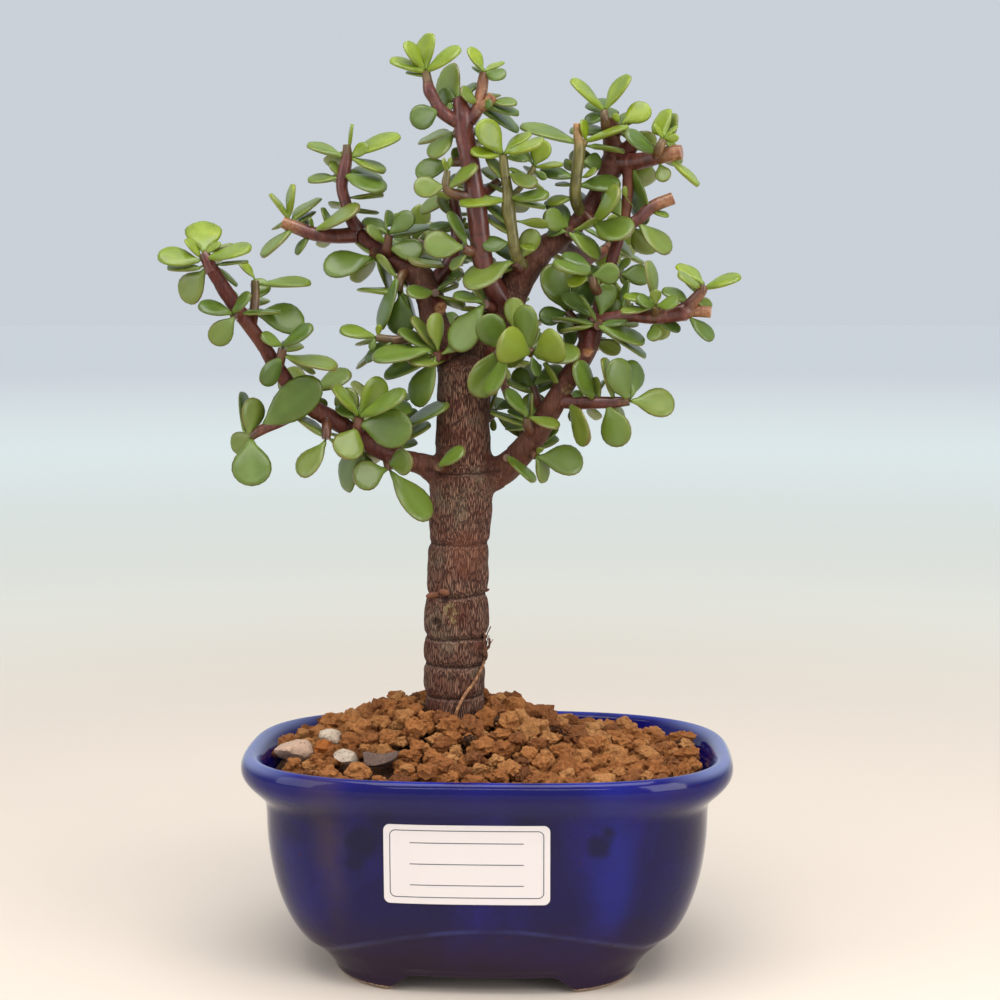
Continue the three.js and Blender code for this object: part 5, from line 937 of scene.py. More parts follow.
# Places on a blade as (share of its length, share of its width); the first two lie near the heel
OUTER_SAMPLES = 2
SAMPLES = np.array([(0.4, -0.34), (0.4, 0.34), (0.66, -0.42), (0.66, 0), (0.66, 0.42), (0.92, -0.2),
                    (0.92, 0.2)])
# A closer net of places for the last small moves: five across at each place along
FINE_OUTER = 5
FINE_MIDDLE = 12
FINE_SAMPLES = np.array([
    (at, half * share) for at, half in ((0.3, 0.36), (0.45, 0.46), (0.6, 0.49), (0.75, 0.46), (0.9, 0.33))
    for share in (-1, -0.5, 0, 0.5, 1)])
print("places on a blade:", len(SAMPLES), "in the finer net:", len(FINE_SAMPLES))

# %% What each reading says


def nearest_on_stems(stems, across, height):
    """The nearest place on a shoot's stems, as it is seen, with its depth."""
    best = (math.inf, 0, 0, 0)
    for stem in stems:
        for i, ((ax, az, ad, _), (bx, bz, bd, _)) in enumerate(zip(stem, stem[1:])):
            rx, rz = bx - ax, bz - az
            t = ((across - ax) * rx + (height - az) * rz) / (rx * rx + rz * rz)
            t = min(1, max(0.5 if i == 0 else 0, t))
            x, z = ax + rx * t, az + rz * t
            best = min(best, (math.hypot(across - x, height - z), x, z, ad + (bd - ad) * t))
    return best[1:]


def unit(v):
    return v / np.linalg.norm(v, axis=-1, keepdims=True)


rows = np.array([row for _, _, leaves in SHOOTS for row in leaves], dtype=float)
owner = [s for s, (_, _, leaves) in enumerate(SHOOTS) for _ in leaves]
heel_at = np.array([nearest_on_stems(SHOOTS[s][1], row[0], row[1]) for s, row in zip(owner, rows)])
base_x, base_z, tip_x, tip_z, seen_width, side, youth = rows.T
seen_length = np.hypot(tip_x - base_x, tip_z - base_z)
hidden = np.sqrt(np.maximum(0, (seen_width / LEAF["width_of_length"]) ** 2 - seen_length ** 2))
least = np.where(np.abs(side) > 1, LEAN["strong"], LEAN["light"]) * seen_length
most_lean = np.sqrt(np.maximum(9, LEAF["longest"] ** 2 - seen_length ** 2))
fullness = np.where(seen_length < LEAF["small"], LEAF["small_fullness"], 1)
print("leaves in the lists:", len(rows), "of them small:", int(np.sum(fullness < 1)))

# %% Posing a leaf


def pose(lean):
    """Every leaf's heel, base, run, along, across, normal and width at these leans."""
    heel = seen(heel_at[:, 0], heel_at[:, 1], heel_at[:, 2])
    base = seen(base_x, base_z, heel_at[:, 2] + lean * LEAN["at_base"])
    run = seen(tip_x, tip_z, heel_at[:, 2] + lean) - base
    along = unit(run)
    full = np.minimum(LEAF["width_of_length"] * np.linalg.norm(run, axis=1), LEAF["widest"]) * fullness
    width = np.maximum(seen_width, full)
    sight = unit(EYE_TURNED - base)
    flat_across = unit(np.cross(along, sight))
    facing = np.clip((seen_width - LEAF["edge"]) / (width - LEAF["edge"]), 0, 1)[:, None]
    edge_on = np.sqrt(1 - facing * facing)
    third = np.cross(along, flat_across)
    best = None
    for sign in (1, -1):
        across = flat_across * facing + third * sign * edge_on
        normal = np.cross(along, across)
        outward = np.sum(normal * sight, axis=1, keepdims=True)
        flip = np.where(normal[:, 2:3] + LEAN["skyward"] * outward < 0, -1, 1)
        across, normal, outward = across * flip, normal * flip, outward * flip
        if best is None:
            best = across, normal, outward
        else:
            better = outward > best[2]
            best = [np.where(better, new, old) for new, old in zip((across, normal, outward), best)]
    return heel, base, run, along, best[0], best[1], width


limb_places, limb_radii = [], []
for points in LIMBS:
    for start, end in zip(points, points[1:]):
        for k in range(SETTLE["balls"]):
            mix = np.array(start) + (np.array(end) - np.array(start)) * k / SETTLE["balls"]
            limb_places.append(seen(*mix[:3]))
            limb_radii.append(mix[3])
limb_places, limb_radii = np.array(limb_places), np.array(limb_radii)
print("places along the limbs:", len(limb_places))

# %% Letting the leaves settle


def net(base, run, across, width, samples):
    """Places spread over blades."""
    return (base[:, None] + run[:, None] * samples[None, :, :1]
            + across[:, None] * (samples[None, :, 1:] * np.reshape(width, (-1, 1, 1))))


def closest(places, others):
    """The smallest distance from any of these places to any of the others."""
    return np.linalg.norm(places[:, None] - others[None], axis=2).min()


def settle(lean, samples, outer, clearance, rounds):
    """Leans neighbours apart, the nearer one towards the eye, and leaves off the limbs."""
    for _ in range(rounds):
        heel, base, run, _, across, _, width = pose(lean)
        clouds = net(base, run, across, width, samples)
        middles = base + run * BLADE_MIDDLE
        deep = np.linalg.norm(middles - EYE_TURNED, axis=1)
        push = np.zeros(count)
        gaps = np.linalg.norm(middles[:, None] - middles[None], axis=2)
        for i, j in zip(*np.where(np.triu(gaps <= SETTLE["reach"], 1))):
            first = outer if np.linalg.norm(heel[i] - heel[j]) < SETTLE["same_heel"] else 0
            need = clearance - min(closest(clouds[i, first:], clouds[j, first:]), clearance)
            order = -1 if deep[i] < deep[j] else 1
            push[i] += order * need
            push[j] -= order * need
        ball_gaps = np.linalg.norm(middles[:, None] - limb_places[None], axis=2)
        for i, b in zip(*np.where(ball_gaps <= SETTLE["limb_reach"] + limb_radii)):
            blade = clouds[i, outer:]
            off = np.linalg.norm(blade - limb_places[b], axis=1)
            need = np.maximum(0, limb_radii[b] + SETTLE["limb_margin"] - off)
            limb_deep = np.linalg.norm(limb_places[b] - EYE_TURNED)
            nearer = np.linalg.norm(blade - EYE_TURNED, axis=1) < limb_deep
            total = np.sum(np.where(nearer, -need, need))
            push[i] += SETTLE["limb_step"] * total * len(SAMPLES) / len(samples)
        lean = np.clip(lean + np.clip(push * SETTLE["step"], -1, 1), -most_lean, most_lean)
    return lean


count = len(rows)
lean = settle(np.sign(side) * np.maximum(hidden, least), SAMPLES, OUTER_SAMPLES, SETTLE["clearance"],
              SETTLE["rounds"])
lean = settle(lean, FINE_SAMPLES, FINE_OUTER, SETTLE["fine_clearance"], SETTLE["fine_rounds"])
heel, base, run, along, across, normal, width = pose(lean)
print("leaves:", count, "mean length, mm:", round(float(np.linalg.norm(run, axis=1).mean()), 2))

# %% [markdown]
# Behind the leaves that can be read, the crown is filled by more of them. They can't be read one by one,
# so they are grown by chance from the same stems: a leaf is kept only if it points backwards or sideways,
# clears its neighbours and the limbs, and doesn't show outside the crown.

# %% Leaves inside the crown
FILLING = {"wanted": 190, "tries": 16000, "length": (8, 12.5), "width_of_length": (0.62, 0.74),
           "youth": (0.1, 0.4), "clearance": 1.9, "off_limbs": 1, "neighbours": 6, "near": 12,
           "heel_reach": 1.0, "margin": 1.5}


def as_seen(place):
    """The reverse of seen(): where a place appears in the upright plane through the trunk."""
    x, y, z = TURN.T @ place
    shrink = EYE_DISTANCE / (EYE_DISTANCE + y)
    return EYE_SIDE + (x - EYE_SIDE) * shrink, EYE_HEIGHT + (z - EYE_HEIGHT) * shrink


dice = random.Random(17)
taken = list(net(base, run, across, width, SAMPLES))
taken_fine = list(net(base, run, across, width, FINE_SAMPLES))
crown = np.array([as_seen(place) for place in base + run * BLADE_MIDDLE])
low_corner = np.array([(v - c) / MM for v, c in zip(CAD_BOX[0], POT_CENTRE)]) + FILLING["margin"]
high_corner = np.array([(v - c) / MM for v, c in zip(CAD_BOX[1], POT_CENTRE)]) - FILLING["margin"]
grown = []
for _ in range(FILLING["tries"]):
    if len(grown) == FILLING["wanted"]:
        break
    s = dice.randrange(len(SHOOTS))
    stem = dice.choice(SHOOTS[s][1])
    k = dice.randrange(len(stem) - 1)
    t = dice.uniform(0.1, 0.9)
    mixed = [a + (b - a) * t for a, b in zip(stem[k], stem[k + 1])]
    foot = seen(*mixed[:3])
    way = unit(np.array([dice.gauss(0, 1), dice.gauss(0.5, 0.8), dice.gauss(0.2, 0.8)]))
    stem_way = unit(seen(*stem[k + 1][:3]) - seen(*stem[k][:3]))
    if way[1] < -0.15 or way[2] < -0.6 or abs(way @ stem_way) > 0.75:
        continue
    length = dice.uniform(*FILLING["length"])
    start = foot + way * (mixed[3] + FILLING["heel_reach"])
    reach = way * length
    sideways = unit(np.cross(way, np.array([dice.gauss(0, 0.4), dice.gauss(0, 0.4), 1])))
    broad = length * dice.uniform(*FILLING["width_of_length"])
    cloud = start + reach * SAMPLES[:, :1] + sideways * (SAMPLES[:, 1:] * broad)
    end = start + reach
    if (end < low_corner).any() or (end > high_corner).any():
        continue
    shown = as_seen(start + reach * BLADE_MIDDLE), as_seen(end)
    around = [np.sum(np.linalg.norm(crown - spot, axis=1) < FILLING["near"]) for spot in shown]
    if min(around) < FILLING["neighbours"] or closest(np.concatenate(taken), cloud) < FILLING["clearance"]:
        continue
    fine = start + reach * FINE_SAMPLES[:, :1] + sideways * (FINE_SAMPLES[:, 1:] * broad)
    near = [other for other in taken_fine
            if math.dist(other[FINE_MIDDLE], fine[FINE_MIDDLE]) < SETTLE["reach"]]
    if near and closest(np.concatenate(near), fine) < SETTLE["fine_clearance"]:
        continue
    gaps = np.linalg.norm(limb_places[:, None] - cloud[None, OUTER_SAMPLES:], axis=2) - limb_radii[:, None]
    if gaps.min() < FILLING["off_limbs"]:
        continue
    upward = np.cross(way, sideways)
    if upward[2] < 0:
        sideways, upward = -sideways, -upward
    taken.append(cloud)
    taken_fine.append(fine)
    new_youth = dice.uniform(*FILLING["youth"])
    grown.append((s, foot, start, reach, way, sideways, upward, broad, new_youth))
owner += [leaf[0] for leaf in grown]
listed = (heel, base, run, along, across, normal, width, youth)
heel, base, run, along, across, normal, width, youth = (
    np.concatenate([old, [leaf[n] for leaf in grown]]) for n, old in enumerate(listed, 1))
count = len(owner)
print("leaves grown inside the crown:", len(grown), "all leaves:", count)

# %% [markdown]
# ## The trunk
# The wood is one grown piece. Each limb is drawn as a Bezier curve through its places, round, with a
# radius at each place. The limbs are made meshes and joined, and a voxel Remesh melts them into one skin,
# with the soft collars where a limb leaves the trunk. The bark is then carved into that skin: rings where
# old leaves sat, and shallow furrows up the stem.

# %% Limbs as curves
LIMB_SIDES = 6


def stem_curves(name, stems, resolution=6):
    """One curve object that holds every stem as its own round spline."""
    curve = bpy.data.curves.new(name, "CURVE")
    curve.dimensions = "3D"
    curve.bevel_depth = MM
    curve.bevel_resolution = LIMB_SIDES
    curve.resolution_u = resolution
    curve.use_fill_caps = True
    for stem in stems:
        spline = curve.splines.new("BEZIER")
        spline.bezier_points.add(len(stem) - 1)
        for knot, (x, z, d, radius) in zip(spline.bezier_points, stem):
            knot.co = in_frame(seen(x, z, d))
            knot.radius = radius
            knot.handle_left_type = knot.handle_right_type = "AUTO"
    obj = bpy.data.objects.new(name, curve)
    bpy.context.collection.objects.link(obj)
    only(obj)
    bpy.ops.object.convert(target="MESH")
    return bpy.context.object


# Knuckles that the plain limbs lack: where twigs fork, and the flare of the foot
KNUCKLES = [
    (-6.2, 178, 0, 8.4), (-17, 200, 6, 4.5), (13, 211, 3, 5.4), (36.5, 239, 7.5, 4),
    (-21.5, 206.5, 8.5, 4.4), (30, 189.5, -7, 3.7), (15, 160.6, -7, 4), (-38.5, 159, -8, 3),
    (-63.5, 181, -16, 2.7), (3, 192, 1, 5.7), (-33.5, 215.4, 11, 2.6)]
# The thin root is laid on afterwards, so that it stays apart from the bark
ROOT = 1
wood_parts = [stem_curves("limbs", [points for n, points in enumerate(LIMBS) if n != ROOT])]
for x, z, d, radius in KNUCKLES:
    knuckle = new_object(bpy.ops.mesh.primitive_ico_sphere_add, subdivisions=3, radius=radius * MM,
                         location=in_frame(seen(x, z, d)))
    knuckle.scale = (1, 1, 0.85)
    freeze_place(knuckle)
    wood_parts.append(knuckle)
trunk_and_limbs = join(wood_parts, "trunk_and_limbs")
melt = trunk_and_limbs.modifiers.new("melt", "REMESH")
melt.mode, melt.voxel_size = "VOXEL", 0.62 * MM
melt.use_smooth_shade = True
soften = trunk_and_limbs.modifiers.new("soften", "SMOOTH")
soften.factor, soften.iterations = 0.5, 4
apply_modifiers(trunk_and_limbs)
print("wood triangles:", triangles(trunk_and_limbs))

# %% [markdown]
# To carve the bark, each vertex of the skin looks up the nearest place along a limb. That tells how thick
# the wood is there, how far along it lies and which way it runs. Rings and furrows follow from these
# three.

# %% Rings, sawn ends and scars
# Rings on the trunk: (height, depth of the groove, how wide)
TRUNK_RINGS = [(81, 0.55, 0.9), (90.4, 0.6, 0.9), (98.8, 0.5, 0.8), (111.6, 0.5, 0.9), (127, 0.45, 0.9),
               (148.6, 0.5, 0.9)]
# Sawn or broken ends: (across, height, depth, reach)
SAWN = [(12, 217.6, 0, 3.8), (29.9, 184.2, -11, 2), (-13.6, 196.6, 0, 2.6), (36.4, 252.3, 8, 2.6)]
# Old scars in the bark: (across, height, depth, reach, 1 for a pale flake and -1 for a dark hollow)
SCARS = [(-11.1, 106.1, -9, 2.6, 1), (-10.2, 102.6, -9, 1.6, 1), (-15, 102.6, -7.5, 1.8, -1),
         (-13, 109.6, -8.6, 1.6, -1), (24.5, 172.5, -12.5, 2.4, 1)]
# Below this height all wood this near the axis is trunk
TRUNK_TOP = {"across": -7.4, "behind": -0.3, "reach": 12.5, "height": 152}
# A limb's rings: pace as (least, more for each mm of radius), their depth for each mm of radius, how wide
LIMB_RINGS = {"pace": (4.5, 1.4), "depth": 0.05, "wide": 0.8}
FAR_FROM_RING = 5
sawn_places = [(Vector(seen(x, z, d)), reach) for x, z, d, reach in SAWN]
scar_places = [(Vector(seen(x, z, d)), reach, kind) for x, z, d, reach, kind in SCARS]
RING_HEIGHTS = [height for height, _, _ in TRUNK_RINGS]
print("rings on the trunk at, mm:", RING_HEIGHTS)

# %% Places along the wood


def line_places(points, step):
    """Places along a limb about every step mm: place, radius, length so far and direction."""
    places, so_far = [], 0.0
    for start, end in zip(points, points[1:]):
        a, b = seen(*start[:3]), seen(*end[:3])
        stretch = float(np.linalg.norm(b - a))
        parts = max(1, int(stretch / step))
        for k in range(parts):
            t = k / parts
            places.append((a + (b - a) * t, start[3] + (end[3] - start[3]) * t, so_far + stretch * t,
                           (b - a) / stretch))
        so_far += stretch
    return places


def place_finder(lines):
    """A search tree that finds the nearest of these places along the wood."""
    tree = kdtree.KDTree(len(lines))
    for i, (place, *_) in enumerate(lines):
        tree.insert(place, i)
    tree.balance()
    return tree


wood_lines = [place + (n,) for n, points in enumerate(LIMBS) if n != ROOT
              for place in line_places(points, 1.2)]
finder = place_finder(wood_lines)
print("places along the wood:", len(wood_lines))

# %% Carving the bark


def on_trunk(place):
    """The groove's depth, the barrel swelling between two rings and how far above the nearest ring."""
    height = place.z + 0.6 * noise.noise(place * 0.12 + Vector((3, 0, 0))) + 0.2 * noise.noise(place * 0.6)
    groove = sum(depth * math.exp(-((height - z) / wide) ** 2) for z, depth, wide in TRUNK_RINGS)
    swell = 0
    for low, high in zip(RING_HEIGHTS, RING_HEIGHTS[1:]):
        if low < height < high:
            swell = 0.35 * math.sin(math.pi * (height - low) / (high - low)) ** 0.6
    return groove, swell, min((height - z for z in RING_HEIGHTS), key=abs)


def on_limb(place, length_along, radius, n):
    """The same for a limb, whose rings follow each other at an even pace."""
    if n == 0:
        return 0, 0, FAR_FROM_RING
    pace = LIMB_RINGS["pace"][0] + LIMB_RINGS["pace"][1] * radius
    length = length_along + 1.2 * noise.noise(place * 0.15 + Vector((n * 5.1, 0, 0)))
    off = ((length / pace) % 1 - 0.5) * pace
    groove = LIMB_RINGS["depth"] * radius * math.exp(-(off / LIMB_RINGS["wide"]) ** 2)
    return groove, 0, off


values = {"girth": [], "groove": [], "sawn": [], "ring": [], "ring_gap": [], "scar": []}
shifts = []
for vertex in trunk_and_limbs.data.vertices:
    place = (vertex.co - POT_CENTRE) / MM
    near = min(finder.find_n(place, 6), key=lambda found: found[2] / max(wood_lines[found[1]][1], 1))
    line_place, radius, so_far, way, n = wood_lines[near[1]]
    way = Vector(way)
    length_along = so_far + (place - Vector(line_place)).dot(way)
    off_axis = math.hypot(place.x - TRUNK_TOP["across"], place.y - TRUNK_TOP["behind"])
    if place.z < TRUNK_TOP["height"] and (n == 0 or off_axis < TRUNK_TOP["reach"]):
        groove, swell, off = on_trunk(place)
    else:
        groove, swell, off = on_limb(place, length_along, radius, n)
    # Furrows run along the limb: the noise is stretched that way
    across_part = place - way * place.dot(way)
    stretched = across_part * 0.75 + way * place.dot(way) * 0.13
    furrow = noise.ridged_multi_fractal(stretched, 1.0, 2.0, 2, 1.0, 2.0)
    lump = noise.noise(place * 0.22)
    fray = 1.2 * noise.noise(place * 0.7)
    scar = sum(kind * smoothstep(reach, reach - 0.8, (place - at).length + fray)
               for at, reach, kind in scar_places)
    shift = swell - groove - min(1, radius / 6) * 0.2 * furrow + 0.05 * radius * lump + 0.35 * min(0, scar)
    shifts.append(shift * MM)
    values["girth"].append(radius)
    values["groove"].append(min(1, groove / 0.5))
    values["ring"].append(off)
    values["ring_gap"].append(abs(off))
    values["scar"].append(scar)
    values["sawn"].append(max(smoothstep(reach, reach - 1, (place - at).length) for at, reach in sawn_places))
normals = [vertex.normal.copy() for vertex in trunk_and_limbs.data.vertices]
for vertex, outward, shift in zip(trunk_and_limbs.data.vertices, normals, shifts):
    vertex.co += outward * shift
for name, numbers in values.items():
    set_values(trunk_and_limbs, name, numbers)
print("wood vertices:", len(trunk_and_limbs.data.vertices))

# %% [markdown]
# A thin pale root runs up the foot of the trunk on the right and ends in dry brown hairs. A small papery
# bud stands out on the left. They are laid on the carved bark and joined to it, since they grow from it.

# %% Root, hairs and bud
HAIRS = {"count": 10, "foot": (-0.9, 90.8, -3.4), "steps": 5, "left": -1.2, "right": 2.2, "top": 101.5,
         "radii": (0.12, 0.18, 0.4)}
# Buds: (place as seen, half sizes, how far they lean)
BUDS = [((-16.3, 111, -6), (2.4, 0.9, 1), -12), ((-13, 111.8, -9), (1.6, 0.6, 1), 15),
        ((-0.4, 112.4, -1), (1, 0.5, 0.5), -20), ((6, 230.8, -1), (1.2, 1.2, 1), 0)]


def same_values(obj, girth, groove, sawn):
    """One set of bark values for a whole small piece, far from any ring or scar."""
    numbers = {"girth": girth, "groove": groove, "sawn": sawn, "ring": FAR_FROM_RING,
               "ring_gap": FAR_FROM_RING, "scar": 0}
    for name, number in numbers.items():
        set_values(obj, name, number)


dice = random.Random(8)
root = stem_curves("root", [[(x, z, d - 0.5, radius * 0.5) for x, z, d, radius in LIMBS[ROOT]]])
same_values(root, girth=9, groove=0, sawn=0.85)
hair_stems = []
for _ in range(HAIRS["count"]):
    x, z, d = HAIRS["foot"]
    stem = [(x, z, d, 0.22)]
    for _ in range(HAIRS["steps"]):
        x += dice.uniform(-0.7, 1.3)
        z += dice.uniform(0.4, 2.8)
        d += dice.uniform(-0.9, 0.7)
        held_x, held_z = min(max(x, HAIRS["left"]), HAIRS["right"]), min(z, HAIRS["top"])
        stem.append((held_x, held_z, d, dice.choice(HAIRS["radii"])))
    hair_stems.append(stem)
hairs = stem_curves("hairs", hair_stems, resolution=3)
same_values(hairs, girth=9, groove=0.4, sawn=0.2)
extras = [root, hairs]
for (x, z, d), sizes, lean_by in BUDS:
    bud = new_object(bpy.ops.mesh.primitive_ico_sphere_add, subdivisions=3, radius=MM,
                     location=in_frame(seen(x, z, d)), rotation=(0, math.radians(lean_by), 0))
    bud.scale = sizes
    freeze_place(bud)
    same_values(bud, girth=1.8, groove=0.2, sawn=0.1)
    extras.append(bud)
trunk_and_limbs = join([trunk_and_limbs] + extras, "trunk_and_limbs")
smooth(trunk_and_limbs)
hand_in(trunk_and_limbs, "bark", "trunk")
print("wood triangles:", triangles(trunk_and_limbs))

# %% [markdown]
# ## One leaf
# A leaf is a thick, fleshy blade like a coin drawn out to an egg shape: narrow at its heel, widest past
# the middle and blunt at the tip. It starts as a ball that is lain along its length; each of its rings is
# then resized to the outline, and the section is pressed flat, rounder above than below.

# %% The leaf's outline
# (place along, half width) of each ring, as shares of the length and of the width
LEAF_RINGS = [(0.035, 0.1), (0.12, 0.17), (0.24, 0.31), (0.38, 0.43), (0.53, 0.49), (0.68, 0.5),
              (0.81, 0.44), (0.91, 0.33), (0.97, 0.19)]
LEAF_SIDES = 12
leaf_pattern = new_object(bpy.ops.mesh.primitive_uv_sphere_add, segments=LEAF_SIDES,
                          ring_count=len(LEAF_RINGS) + 1, radius=1, rotation=(0, math.pi / 2, 0))
freeze_place(leaf_pattern)
# The rings of the ball are told apart by their place along X, from heel (-1) to tip (+1)
levels = sorted({round(vertex.co.x, 4) for vertex in leaf_pattern.data.vertices})
leaf_points = []
for vertex in leaf_pattern.data.vertices:
    level = levels.index(round(vertex.co.x, 4))
    if level == 0 or level == len(levels) - 1:
        leaf_points.append((0.0 if level == 0 else 1.0, 0.0, 0.0, 0.0))
        continue
    at, half = LEAF_RINGS[level - 1]
    turn = math.atan2(vertex.co.z, vertex.co.y)
    leaf_points.append((at, math.cos(turn) * half, math.sin(turn), half))
leaf_points = np.array(leaf_points)
print("leaf points:", len(leaf_points), "triangles:", triangles(leaf_pattern))

# %% Laying a leaf in its place


def lay_leaf(i, chance):
    """A copy of the pattern laid to leaf i: its vertices in metres, and the numbers its material reads."""
    at, out, up, half = leaf_points.T
    # Some leaves narrow more towards the heel than others
    waist = 1 - (0.05 + 0.3 * chance) * np.clip(1 - at / 0.45, 0, 1) * np.clip(at / 0.1, 0, 1)
    out, half = out * waist, half * waist
    half_thick = float(np.clip(LEAF["thick_of_width"] * width[i] * 1.25, *LEAF["half_thick"]))
    length = float(np.linalg.norm(run[i]))
    # A short stalk is as thick as it is wide, and the blade thins towards its tip
    thick = half_thick * np.clip(np.minimum(half * 6, 1), 0.3, 1) * (1 - 0.25 * at)
    thick = np.where((at == 0) | (at == 1), 0, thick)
    level = np.where(up > 0, up * 1.15, up * 0.75) * thick
    share = np.where(half > 0, np.abs(out) / np.maximum(half, 1e-6), 0)
    # The blade is dished a little across and bends along, up or down by chance
    dish = (0.10 + 0.12 * chance) * width[i] * (out ** 2) * 2
    bend = (chance - 0.45) * 0.16 * length * (at - 0.1) ** 2
    lift = level + dish + bend
    place = (base[i] + run[i] * at[:, None] + across[i] * (out * width[i])[:, None]
             + normal[i] * lift[:, None])
    # The heel starts a little inside the stem
    place[at == 0] = heel[i] + unit(heel[i] - base[i]) * LEAF["heel_depth"]
    rim = np.clip((share - 0.86) / 0.14, 0, 1)
    rim = np.maximum(rim, np.where(at > 0.96, 0.6, 0))
    rim = np.where(at >= 1, 1, rim) * np.clip((at - 0.1) / 0.15, 0, 1)
    upper = np.where(up > 0.05, 1, np.where(up < -0.05, 0, 0.5))
    return place, {"along": at, "rim": rim, "upper": upper, "youth": youth[i], "chance": chance,
                   "side": out / 0.5}


print("longest leaf, mm:", round(float(np.linalg.norm(run, axis=1).max()), 1))

# %% [markdown]
# ## Shoots
# Each shoot is its stems, drawn as curves like the limbs, with a copy of the leaf laid at every reading.
# All leaves of a shoot are joined to its stems, because they grow from it without a joint.

# %% What the finish of a stem reads
SHOOT_VALUES = ("along", "rim", "upper", "youth", "chance", "side", "blade", "green", "cut", "ring")
# Two stems are olive; the others are red-brown, greener only at the tip of a very young shoot
OLIVE = ("shoot_olive_stem", "shoot_olive_right")
# Stems that were cut: (across, height) of the cut end
CUT_TIPS = [(1.8, 258.4), (26.4, 250.6), (57, 242.4), (54.6, 229), (66.2, 195.7), (-60.3, 222)]
# Wood within this reach of a cut end has dried to a paler brown
CUT_REACH = 8.5
NODE_PACE = 6.5
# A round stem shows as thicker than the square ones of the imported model
STEM_GIRTH = 1.18
OLIVE_SLIMMER = 0.8
# Where the melted limb ends a little short, the stem starts this much further back in it
RUNS_BACK = {"shoot_left_tip": 1.6, "shoot_mid_left_end": 1.6}


def grown_back(stem, far):
    """The stem with its first place moved back along its own way."""
    first, second = np.array(stem[0]), np.array(stem[1])
    back = unit(first[:3] - second[:3]) * far
    return [(*(first[:3] + back), first[3])] + list(stem[1:])


def stem_values(stems, name, read, ages):
    """For every vertex of a shoot's stems: how green it is, how near a cut end and how far from a node."""
    lines = [place for stem in read for place in line_places(stem, 0.8)]
    tree = place_finder(lines)
    ends = [Vector(seen(*stem[-1][:3])) for stem in read
            if any(math.dist(stem[-1][:2], tip) < 1.6 for tip in CUT_TIPS)]
    youngest = max(ages) if ages else 0
    green, cut, ring = [], [], []
    for vertex in stems.data.vertices:
        place = (vertex.co - POT_CENTRE) / MM
        line_place, radius, so_far, way = lines[tree.find(place)[1]]
        length_along = so_far + (place - Vector(line_place)).dot(Vector(way))
        fresh = youngest * smoothstep(1.5, 0.9, radius)
        green.append(0.95 if name in OLIVE else 0.8 * fresh)
        to_end = min([(place - end).length for end in ends], default=CUT_REACH)
        cut.append(max(smoothstep(2.1, 1.5, to_end), 0.45 * smoothstep(CUT_REACH, 3, to_end)))
        ring.append(abs((length_along / NODE_PACE) % 1 - 0.5) * NODE_PACE)
    for value, numbers in (("green", green), ("cut", cut), ("ring", ring)):
        set_values(stems, value, numbers)


print("numbers on each vertex:", ", ".join(SHOOT_VALUES))

# %% Stems and leaves, shoot by shoot
dice = random.Random(5)
jade_shoots = []
for s, (name, read, _) in enumerate(SHOOTS):
    parts = []
    ages = [youth[i] for i in range(count) if owner[i] == s]
    if read:
        girth = STEM_GIRTH * (OLIVE_SLIMMER if name in OLIVE else 1)
        lines = [grown_back(stem, RUNS_BACK.get(name, 0)) if n == 0 else stem for n, stem in enumerate(read)]
        stems = stem_curves("stems", [[(x, z, d, radius * girth) for x, z, d, radius in line]
                                      for line in lines], resolution=5)
        stem_values(stems, name, read, ages)
        set_values(stems, "youth", sum(ages) / max(1, len(ages)))
        for value in ("along", "rim", "upper", "side", "blade"):
            set_values(stems, value, 0)
        set_values(stems, "chance", dice.random())
        parts.append(stems)
    for i in range(count):
        if owner[i] != s:
            continue
        leaf = copy_of(leaf_pattern)
        spots, values = lay_leaf(i, dice.random())
        for vertex, place in zip(leaf.data.vertices, spots):
            vertex.co = in_frame(place)
        values |= {"blade": 1, "green": 0, "cut": 0, "ring": FAR_FROM_RING}
        for value in SHOOT_VALUES:
            set_values(leaf, value, values[value])
        parts.append(leaf)
    jade = join(parts, "jade_" + name)
    smooth(jade)
    hand_in(jade, "young_leaf" if sum(ages) > 0.5 * len(ages) else "leaf", name)
    jade_shoots.append(jade)
bpy.data.objects.remove(leaf_pattern)
print("shoots:", len(jade_shoots), "triangles:", sum(triangles(jade) for jade in jade_shoots))

# %% [markdown]
# ## Finishes
# All finishes are worked out from places in space and from the numbers stored on the vertices, so that
# they stay the same from every side. The helpers below only make the node trees shorter to write.

# %% Helpers for node trees


def colour(text):
    """A colour as it looks on screen, such as "3f5a24", turned into linear light."""
    parts = [int(text[i:i + 2], 16) / 255 for i in (0, 2, 4)]
    return tuple(p / 12.92 if p <= 0.04045 else ((p + 0.055) / 1.055) ** 2.4 for p in parts) + (1,)


